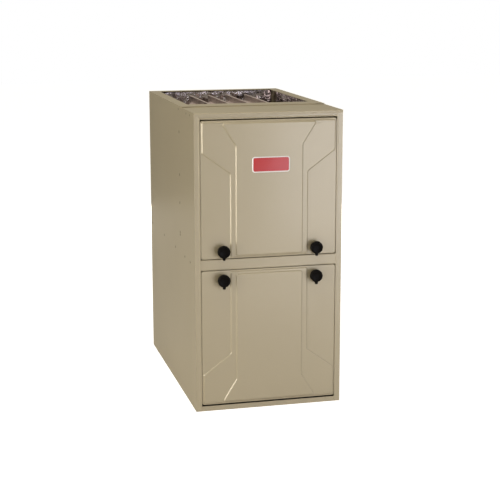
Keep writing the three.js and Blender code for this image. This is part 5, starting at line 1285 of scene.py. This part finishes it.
@dataclass
class ControlBoard:
    """The parts soldered on the furnace control and the wires that leave it.

    Attributes:
        face: The board's front, as Y in millimetres.
        left: Its left edge.
        foot: Its lower edge.
    """

    face: float = -298.6
    left: float = -197.8
    foot: float = 312.5

    def part(self, shape: Shape, x: float, z: float, width: float, height: float, depth: float) -> None:
        """Stands a squared component on the board.

        Args:
            shape: The drawing that gets it.
            x: Its left edge on the board.
            z: Its lower edge on the board.
            width: Its width.
            height: Its height.
            depth: How far it stands off the board.
        """
        shape.block((self.left + x, self.face - depth, self.foot + z),
                    (self.left + x + width, self.face + 0.4, self.foot + z + height))

    def can(self, shape: Shape, x: float, z: float, radius: float, height: float) -> None:
        """Stands a round capacitor on the board.

        Args:
            shape: The drawing that gets it.
            x: Its middle on the board.
            z: Its middle's height on the board.
            radius: Its radius.
            height: How far it stands off the board.
        """
        shape.lathe([(radius, -0.4), (radius, 1.0), (radius - 0.5, 1.6), (radius, 2.3),
                     (radius, height - 0.6), (radius - 0.7, height), (0.3, height)],
                    (self.left + x, self.face, self.foot + z), FORWARD, sides=28)

    def build(self) -> None:
        """Builds the components by material, then the wires."""
        black, white, bright, brown = Shape(), Shape(), Shape(), Shape()
        for x, z, r, h in ((14.0, 60.0, 6.2, 17.0), (30.0, 58.0, 5.0, 13.0), (112.0, 66.0, 6.2, 16.0)):
            self.can(black, x, z, r, h)
        self.part(black, 60.0, 54.0, 17.0, 17.0, 2.2)
        self.part(black, 84.0, 56.0, 20.0, 7.0, 3.2)
        self.part(white, 8.0, 76.0, 22.0, 8.0, 11.0)
        self.part(white, 96.0, 78.0, 28.0, 8.0, 11.0)
        self.part(white, 8.0, 92.0, 10.0, 22.0, 9.0)
        self.part(brown, 44.0, 76.0, 5.0, 16.0, 12.0)
        self.part(brown, 114.0, 92.0, 8.0, 8.0, 7.0)
        for i in range(5):
            self.part(bright, 22.0 + 6.4 * i, 44.0, 0.9, 6.3, 9.5)
            self.part(bright, 78.0 + 6.4 * i, 44.0, 0.9, 6.3, 9.5)
        for i in range(6):
            bright.lathe(screw_head(2.3, 1.2, 1.6, 1.6),
                         (self.left + 99.0 + 4.4 * i, self.face - 11.0, self.foot + 82.0), FORWARD, sides=10)
        for x, z in ((5.0, 5.0), (125.0, 5.0), (5.0, 115.0), (125.0, 115.0)):
            bright.lathe(screw_head(3.4, 1.2, 2.4, 2.0),
                         (self.left + x, self.face, self.foot + z), FORWARD, sides=14)
        black.made("board_capacitors_and_chips", BLACK_NYLON, CASING, "black_plastic", bevel=0.3, soft=30.0)
        white.made("board_connectors", WHITE_ABS, CASING, "white_plastic", bevel=0.4)
        brown.made("board_fuse_and_dial", WIRE_COLOURS["red"], CASING, "red_enamel", bevel=0.5)
        bright.made("board_terminals", ZINC_PLATE, CASING, "zinc_plate", bevel=0.12)
        self.relay_caps()
        self.looms()

    def relay_caps(self) -> None:
        """Puts a black case over each relay."""
        caps = Shape()
        for i in range(4):
            x = 16.25 + 32.5 * i
            self.part(caps, x - 9.4, 5.6, 18.8, 26.0, 18.6)
        caps.made("relay_cases", BLACK_POLYPROPYLENE, CASING, "black_plastic", bevel=0.8)

    def looms(self) -> None:
        """Runs the wires from the board to the transformer, the blower motor and the door switch."""
        y = self.face - 10.0
        left, foot = self.left, self.foot
        runs = (
            ("transformer_red", "red", (36.0, 48.0), [(-120.0, -322.0, 345.0), (-70.0, -330.0, 330.0),
                                                      (-46.0, -334.0, 334.0), (-40.0, -328.0, 338.0)]),
            ("transformer_blue", "blue", (42.0, 48.0), [(-118.0, -326.0, 338.0), (-68.0, -335.0, 322.0),
                                                        (-40.0, -338.0, 326.0), (-32.0, -330.0, 332.0)]),
            ("blower_black", "black", (92.0, 48.0), [(-112.0, -318.0, 346.0), (-132.0, -322.0, 320.0),
                                                     (-142.0, -318.0, 298.0), (-144.0, -290.0, 282.0),
                                                     (-143.0, -200.0, 246.0), (-141.0, -60.0, 228.0),
                                                     (-140.0, 3.2, 214.0)]),
            ("blower_yellow", "yellow", (98.0, 48.0), [(-108.0, -321.0, 342.0), (-128.0, -324.0, 316.0),
                                                       (-137.0, -319.0, 294.0), (-139.0, -290.0, 278.0),
                                                       (-138.0, -200.0, 242.0), (-137.0, -60.0, 223.0),
                                                       (-136.0, 3.0, 209.0)]),
            ("door_switch_black", "black", (104.0, 48.0), [(-84.0, -314.0, 372.0), (-30.0, -316.0, 400.0),
                                                           (30.0, -314.0, 404.0), (66.0, -310.0, 402.0),
                                                           (68.0, -308.0, 405.6)]),
        )
        for name, colour, (x, z), points in runs:
            wire(name, colour, [(left + x, y + 1.0, foot + z), (left + x, y - 6.0, foot + z - 2.0), *points])


@dataclass
class Transformer:
    """The coil wound on the transformer's core, its tape and its feet's screws.

    Attributes:
        centre_x: The core's middle, as X in millimetres.
        foot: The height of its foot.
    """

    centre_x: float = -23.7
    foot: float = 291.2

    def build(self) -> None:
        """Winds the coil before and behind the core."""
        winding, tape = Shape(), Shape()
        middle = self.foot + 28.0
        x = self.centre_x
        outline = rounded(rectangle((x - 19.6, x + 19.6), (middle - 17.8, middle + 17.8)), 8.0, steps=5)
        band = rounded(rectangle((x - 20.0, x + 20.0), (middle - 18.2, middle + 18.2)), 8.2, steps=5)
        for low, high in ((-333.4, -320.4), (-301.4, -288.6)):
            winding.loft([[(px, y, pz) for px, pz in inset(outline, shrink)]
                          for y, shrink in ((low, 3.0), (low + 0.6, 1.0), (low + 2.0, 0.0),
                                            (high - 2.0, 0.0), (high, 0.4))])
            mid = (low + high) / 2
            tape.loft([[(px, y, pz) for px, pz in band] for y in (mid - 3.0, mid + 3.0)])
        winding.made("transformer_winding", COPPER_WINDING, CASING, "transformer_core", soft=40.0)
        tape.made("transformer_tape", WIRE_COLOURS["yellow"], CASING, "transformer_core", soft=40.0)
        screws = Shape()
        for px in (x - 24.0, x + 24.0):
            for pz in (self.foot + 5.0, self.foot + 51.0):
                screws.lathe(screw_head(3.0, 1.2, 2.2, 2.0, 0.4), (px, -319.7, pz), FORWARD, sides=6)
        screws.made("transformer_screws", ZINC_PLATE, CASING, "zinc_plate", soft=30.0)


@dataclass
class Blower:
    """The blower motor's bands, the dark discs of painted shade for its vent holes, and the rims round the
    housing's inlets.

    Attributes:
        axis: Where the blower turns, as Y and Z in millimetres.
    """

    axis: tuple[float, float] = (69.35, 205.0)

    def build(self) -> None:
        """Builds the motor's trim and the rims round the housing's inlets."""
        y, z = self.axis
        trim, vent_shades = Shape(), Shape()
        for x in (-124.0, -60.0):
            trim.lathe(strap(68.1, 69.2, 4.0), (x, y, z), (1, 0, 0), sides=96)
        # Each vent is a flat black disc on the motor's end: painted shade where the hole is.
        for vent_y, vent_z in circle(44.0, 12, self.axis):
            vent_shades.lathe([(4.4, -0.5), (4.4, 0.15), (0.3, 0.15)],
                        (-151.9, vent_y, vent_z), (-1, 0, 0), sides=16)
        trim.made("blower_motor_bands", ZINC_PLATE, CASING, "zinc_plate", soft=40.0)
        vent_shades.made("blower_motor_vents", BLACK_EPDM, CASING, "black_rubber")
        rims = Shape()
        for side in (-1, 1):
            rims.lathe([(107.0, 0.0), (109.5, 0.0), (110.6, 1.2), (109.5, 2.4), (107.6, 2.0)],
                       (side * 124.0, y, z), (side, 0, 0), sides=96)
        rims.made("blower_inlet_rims", GALVANISED, CASING, "galvanised_steel", soft=50.0)


@dataclass
class WiringBox:
    """The mains junction box's screws and the bushing in the deck beside it."""

    def build(self) -> None:
        """Builds the lid's screws and the deck's bushing."""
        screws, bushing = Shape(), Shape()
        for y, z in ((-301.0, 473.0), (-245.0, 530.0)):
            screws.lathe(screw_head(3.4, 1.0, 2.4, 1.8, 0.4), (-178.7, y, z), (1, 0, 0), sides=6)
        screws.made("junction_box_screws", GREEN_PASSIVATE, CASING, "zinc_plate", soft=30.0)
        bushing.lathe([(8.6, 0.0), (11.0, 0.3), (11.0, 2.0), (9.6, 2.8), (8.6, 2.8)],
                      (*HARNESS, 441.6), (0, 0, 1), sides=36)
        bushing.made("deck_bushing", BLACK_EPDM, CASING, "black_rubber", soft=50.0)


# ---------------------------------------------------------------- pieces that keep their CAD shape

PLAIN_NODES: dict[str, tuple[Finish, float]] = {
    "casing_wrap": (POWDER_COAT, 0.5), "supply_front_strip": (POWDER_COAT, 0.4),
    "centre_rail": (POWDER_COAT, 0.45), "bottom_rail": (POWDER_COAT, 0.4),
    "base_panel": (GALVANISED, 0.4), "blower_deck": (GALVANISED, 0.4), "vestibule_panel": (GALVANISED, 0.4),
    "secondary_coil": (FIN_STOCK, 0.3), "coupling_box": (ALUMINISED, 0.8),
    "collector_box": (BLACK_POLYPROPYLENE, 1.2), "burner_box": (GALVANISED, 0.4),
    "burner_rack": (ALUMINISED, 0.6), "gas_manifold": (BLACK_IRON, 1.0),
    "gas_valve_body": (CAST_ALUMINIUM, 2.0), "gas_valve_lever": (BLACK_NYLON, 0.8),
    "igniter": (STEATITE, 0.8), "flame_sensor": (STEATITE, 0.8), "rollout_switch": (BLACK_NYLON, 0.8),
    "inducer_housing": (BLACK_POLYPROPYLENE, 1.5), "inducer_wheel": (STAINLESS, 0.4),
    "inducer_motor": (MOTOR_PAINT, 1.5), "inducer_fan": (WHITE_ABS, 0.4), "vent_pipe": (GREY_PVC, 0.6),
    "pressure_switch": (WHITE_ABS, 1.2), "pressure_tube": (BLACK_EPDM, 0.8),
    "condensate_trap": (WHITE_ABS, 1.5), "drain_tube": (BLACK_EPDM, 0.5),
    "blower_housing": (GALVANISED, 0.4), "blower_wheel": (GALVANISED, 0.3), "blower_shaft": (STAINLESS, 0.8),
    "blower_motor": (MOTOR_PAINT, 2.0), "motor_mount": (GALVANISED, 0.8), "control_box": (GALVANISED, 0.4),
    "control_board": (SOLDER_MASK, 0.3), "transformer": (LAMINATED_IRON, 0.8),
    "door_switch_body": (BLACK_NYLON, 1.0), "door_switch_plunger": (WHITE_ABS, 1.0),
    "wiring_harness": (BLACK_EPDM, 0.8), "junction_box": (GALVANISED, 0.4),
    "upper_door_liner": (GLASS_FIBRE, 1.5), "lower_door_liner": (GLASS_FIBRE, 1.5),
    "upper_pawl_left": (ZINC_PLATE, 0.6), "upper_pawl_right": (ZINC_PLATE, 0.6),
    "lower_pawl_left": (ZINC_PLATE, 0.6), "lower_pawl_right": (ZINC_PLATE, 0.6),
}


def dress_cad() -> None:
    """Gives each CAD node that stays in view its finish and rounded edges."""
    for name, (finish, bevel) in PLAIN_NODES.items():
        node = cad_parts[name]
        if node.material_slots:
            for slot in node.material_slots:
                slot.link = "OBJECT"
                slot.material = finish.material()
        else:
            node.data.materials.append(finish.material())
        soften(node, bevel)
        LOG.info("%s: kept from the CAD, %s", name, finish.name)


# ---------------------------------------------------------------- the studio


@dataclass(frozen=True)
class Lamp:
    """One soft lamp.

    Attributes:
        name: Its name.
        at: Its place in metres.
        aim: The point that it faces.
        size: Its width and height in metres.
        watts: Its power.
        colour: Its colour, sRGB hex.
        lights: Whether it lights surfaces.
        mirrored: Whether surfaces mirror it.
    """

    name: str
    at: Point
    aim: Point
    size: tuple[float, float]
    watts: float
    colour: str
    lights: bool = True
    mirrored: bool = True

    def hang(self) -> None:
        """Hangs the lamp where the camera doesn't see it."""
        data = bpy.data.lights.new(self.name, "AREA")
        data.shape, data.energy = "RECTANGLE", self.watts
        data.size, data.size_y = self.size
        data.color = linear(self.colour)[:3]
        lamp = bpy.data.objects.new(self.name, data)
        lamp.location = self.at
        lamp.rotation_euler = (Vector(self.aim) - Vector(self.at)).to_track_quat("-Z", "Y").to_euler()
        lamp.visible_camera = False
        lamp.visible_diffuse, lamp.visible_glossy = self.lights, self.mirrored
        bpy.context.scene.collection.objects.link(lamp)


LAMPS = (
    Lamp("key", (1.4, -2.6, 0.45), (0.0, -0.37, 0.16), (1.6, 1.4), 23.0, "#ECEFFF"),
    Lamp("low_front", (0.7, -1.7, 0.15), (0.0, -0.38, 0.05), (1.0, 0.25), 4.8, "#F2F1FF", mirrored=False),
    Lamp("right_panel", (1.25, -3.1, 0.55), (0.1, -0.38, 0.5), (0.9, 1.2), 4.5, "#EEF0FF"),
    Lamp("back_fill", (0.5, 3.2, 0.45), (0.0, 0.37, 0.4), (1.6, 0.7), 34.0, "#FFF8EC", mirrored=False),
    Lamp("left_strip", (-2.6, -1.35, 0.7), (-0.1, -0.38, 0.45), (0.28, 1.9), 23.0, "#FFF6E4"),
    Lamp("top", (-0.7, -0.5, 3.0), (0.0, 0.0, 0.85), (1.6, 1.4), 40.0, "#FFF6E6"),
    Lamp("left_glint", (-1.75, -1.55, 0.75), (0.0, -0.38, 0.5), (1.3, 1.7), 34.0, "#FFFFFF", lights=False),
)


@dataclass
class Studio:
    """The camera of the photograph, soft lamps, a pale floor and a white surround.

    Attributes:
        azimuth: How far left of the front the camera stands, in degrees.
        elevation: How far it looks down, in degrees.
        roll: Its roll in degrees.
        distance: Its distance in metres.
        shift_right: How far its axis passes right of the casing's middle, in metres.
        shift_up: How far its axis passes above the casing's middle, in metres.
        lens: Its focal length in millimetres.
        sensor: Its sensor's width in millimetres.
        floor_reach: How far the floor reaches from the object, in metres.
        floor_drop: How far below the object the floor lies, so that they don't flicker.
    """

    azimuth: float = -13.96
    elevation: float = 11.89
    roll: float = -0.08
    distance: float = 4.145
    shift_right: float = 0.0343
    shift_up: float = -0.0396
    lens: float = 92.7
    sensor: float = 36.0
    floor_reach: float = 12.0
    floor_drop: float = 0.0005

    def camera(self) -> None:
        """Stands the camera where the photograph was taken from."""
        az, el = math.radians(self.azimuth), math.radians(self.elevation)
        back = Vector((math.sin(az) * math.cos(el), -math.cos(az) * math.cos(el), math.sin(el)))
        right = Vector((math.cos(az), math.sin(az), 0.0))
        up = back.cross(right)
        at = back * self.distance + right * self.shift_right + up * self.shift_up
        at.z += TOP * MM / 2
        roll = Matrix.Rotation(math.radians(self.roll), 4, "Z")
        turn = Matrix((right, up, back)).transposed().to_4x4() @ roll
        data = bpy.data.cameras.new("camera")
        data.lens, data.sensor_width, data.sensor_fit = self.lens, self.sensor, "HORIZONTAL"
        camera = bpy.data.objects.new("camera", data)
        camera.matrix_world = Matrix.Translation(at) @ turn
        bpy.context.scene.collection.objects.link(camera)
        bpy.context.scene.camera = camera

    def surround(self) -> None:
        """Makes the world white where the camera sees it, and a soft warm light elsewhere."""
        world = bpy.data.worlds.new("surround")
        bpy.context.scene.world = world
        world.use_nodes = True
        tree = world.node_tree
        tree.nodes.clear()
        path = add_node(tree, "ShaderNodeLightPath")
        seen = add_node(tree, "ShaderNodeMath", {"operation": "MAXIMUM"},
                        {0: path.outputs["Is Camera Ray"], 1: path.outputs["Is Transmission Ray"]})
        soft = add_node(tree, "ShaderNodeBackground", {}, {"Color": linear("#EFE8D6"), "Strength": 0.33})
        white = add_node(tree, "ShaderNodeBackground", {}, {"Color": (1, 1, 1, 1), "Strength": 1.0})
        mixed = add_node(tree, "ShaderNodeMixShader", {},
                         {0: seen.outputs[0], 1: soft.outputs[0], 2: white.outputs[0]})
        add_node(tree, "ShaderNodeOutputWorld", {}, {"Surface": mixed.outputs[0]})

    def floor(self) -> None:
        """Lays the pale floor, which runs out to white and keeps a soft shadow."""
        paper = bpy.data.materials.new("studio_paper")
        paper.use_nodes = True
        tree = paper.node_tree
        tree.nodes.clear()
        place = add_node(tree, "ShaderNodeTexCoord").outputs["Object"]
        fibre = add_node(tree, "ShaderNodeTexNoise", {}, {"Vector": place, "Scale": 350.0})
        tone = add_node(tree, "ShaderNodeMix", {"data_type": "RGBA"},
                        {0: fibre.outputs["Fac"], 6: linear("#DAD8D4"), 7: linear("#DEDCD9")})
        matt = add_node(tree, "ShaderNodeBsdfPrincipled", {},
                        {"Base Color": tone.outputs[2], "Roughness": 0.9})
        glow = add_node(tree, "ShaderNodeEmission", {}, {"Color": (1, 1, 1, 1), "Strength": 0.84})
        path = add_node(tree, "ShaderNodeLightPath")
        lit = add_node(tree, "ShaderNodeAddShader", {}, {0: matt.outputs[0], 1: glow.outputs[0]})
        seen = add_node(tree, "ShaderNodeMixShader", {},
                        {0: path.outputs["Is Camera Ray"], 1: matt.outputs[0], 2: lit.outputs[0]})
        add_node(tree, "ShaderNodeOutputMaterial", {}, {"Surface": seen.outputs[0]})
        mesh = bpy.data.meshes.new("floor")
        reach = self.floor_reach
        mesh.from_pydata([(-reach, -reach, 0), (reach, -reach, 0), (reach, reach, 0), (-reach, reach, 0)],
                         [], [(0, 1, 2, 3)])
        mesh.materials.append(paper)
        floor = bpy.data.objects.new("floor", mesh)
        floor.location.z = -self.floor_drop
        bpy.context.scene.collection.objects.link(floor)

    def build(self) -> None:
        """Sets up the camera, the lamps, the surround and the floor."""
        self.camera()
        for lamp in LAMPS:
            lamp.hang()
        self.surround()
        self.floor()
        bpy.context.scene.view_settings.view_transform = "Standard"


def main() -> None:
    """Builds the camera, the furnace's sub-assemblies in order, and the studio."""
    logging.basicConfig(level=logging.INFO, format="%(name)s: %(message)s")
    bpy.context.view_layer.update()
    Studio().build()
    dress_cad()
    Casing().build()
    Door("upper_door", 461.0, 404.0, HingeEnd.TOP, 24.0, 6.0, (9.0, 6.0)).build()
    Door("lower_door", 427.0, 408.0, HingeEnd.FOOT, 28.0, 10.0, (4.0, 6.0)).build()
    Nameplate().build()
    FoilBlanket().build()
    HeatCells().build()
    GasTrain().build()
    DraftUnit().build()
    ControlBoard().build()
    Transformer().build()
    Blower().build()
    WiringBox().build()


if __name__ == "__main__":
    main()
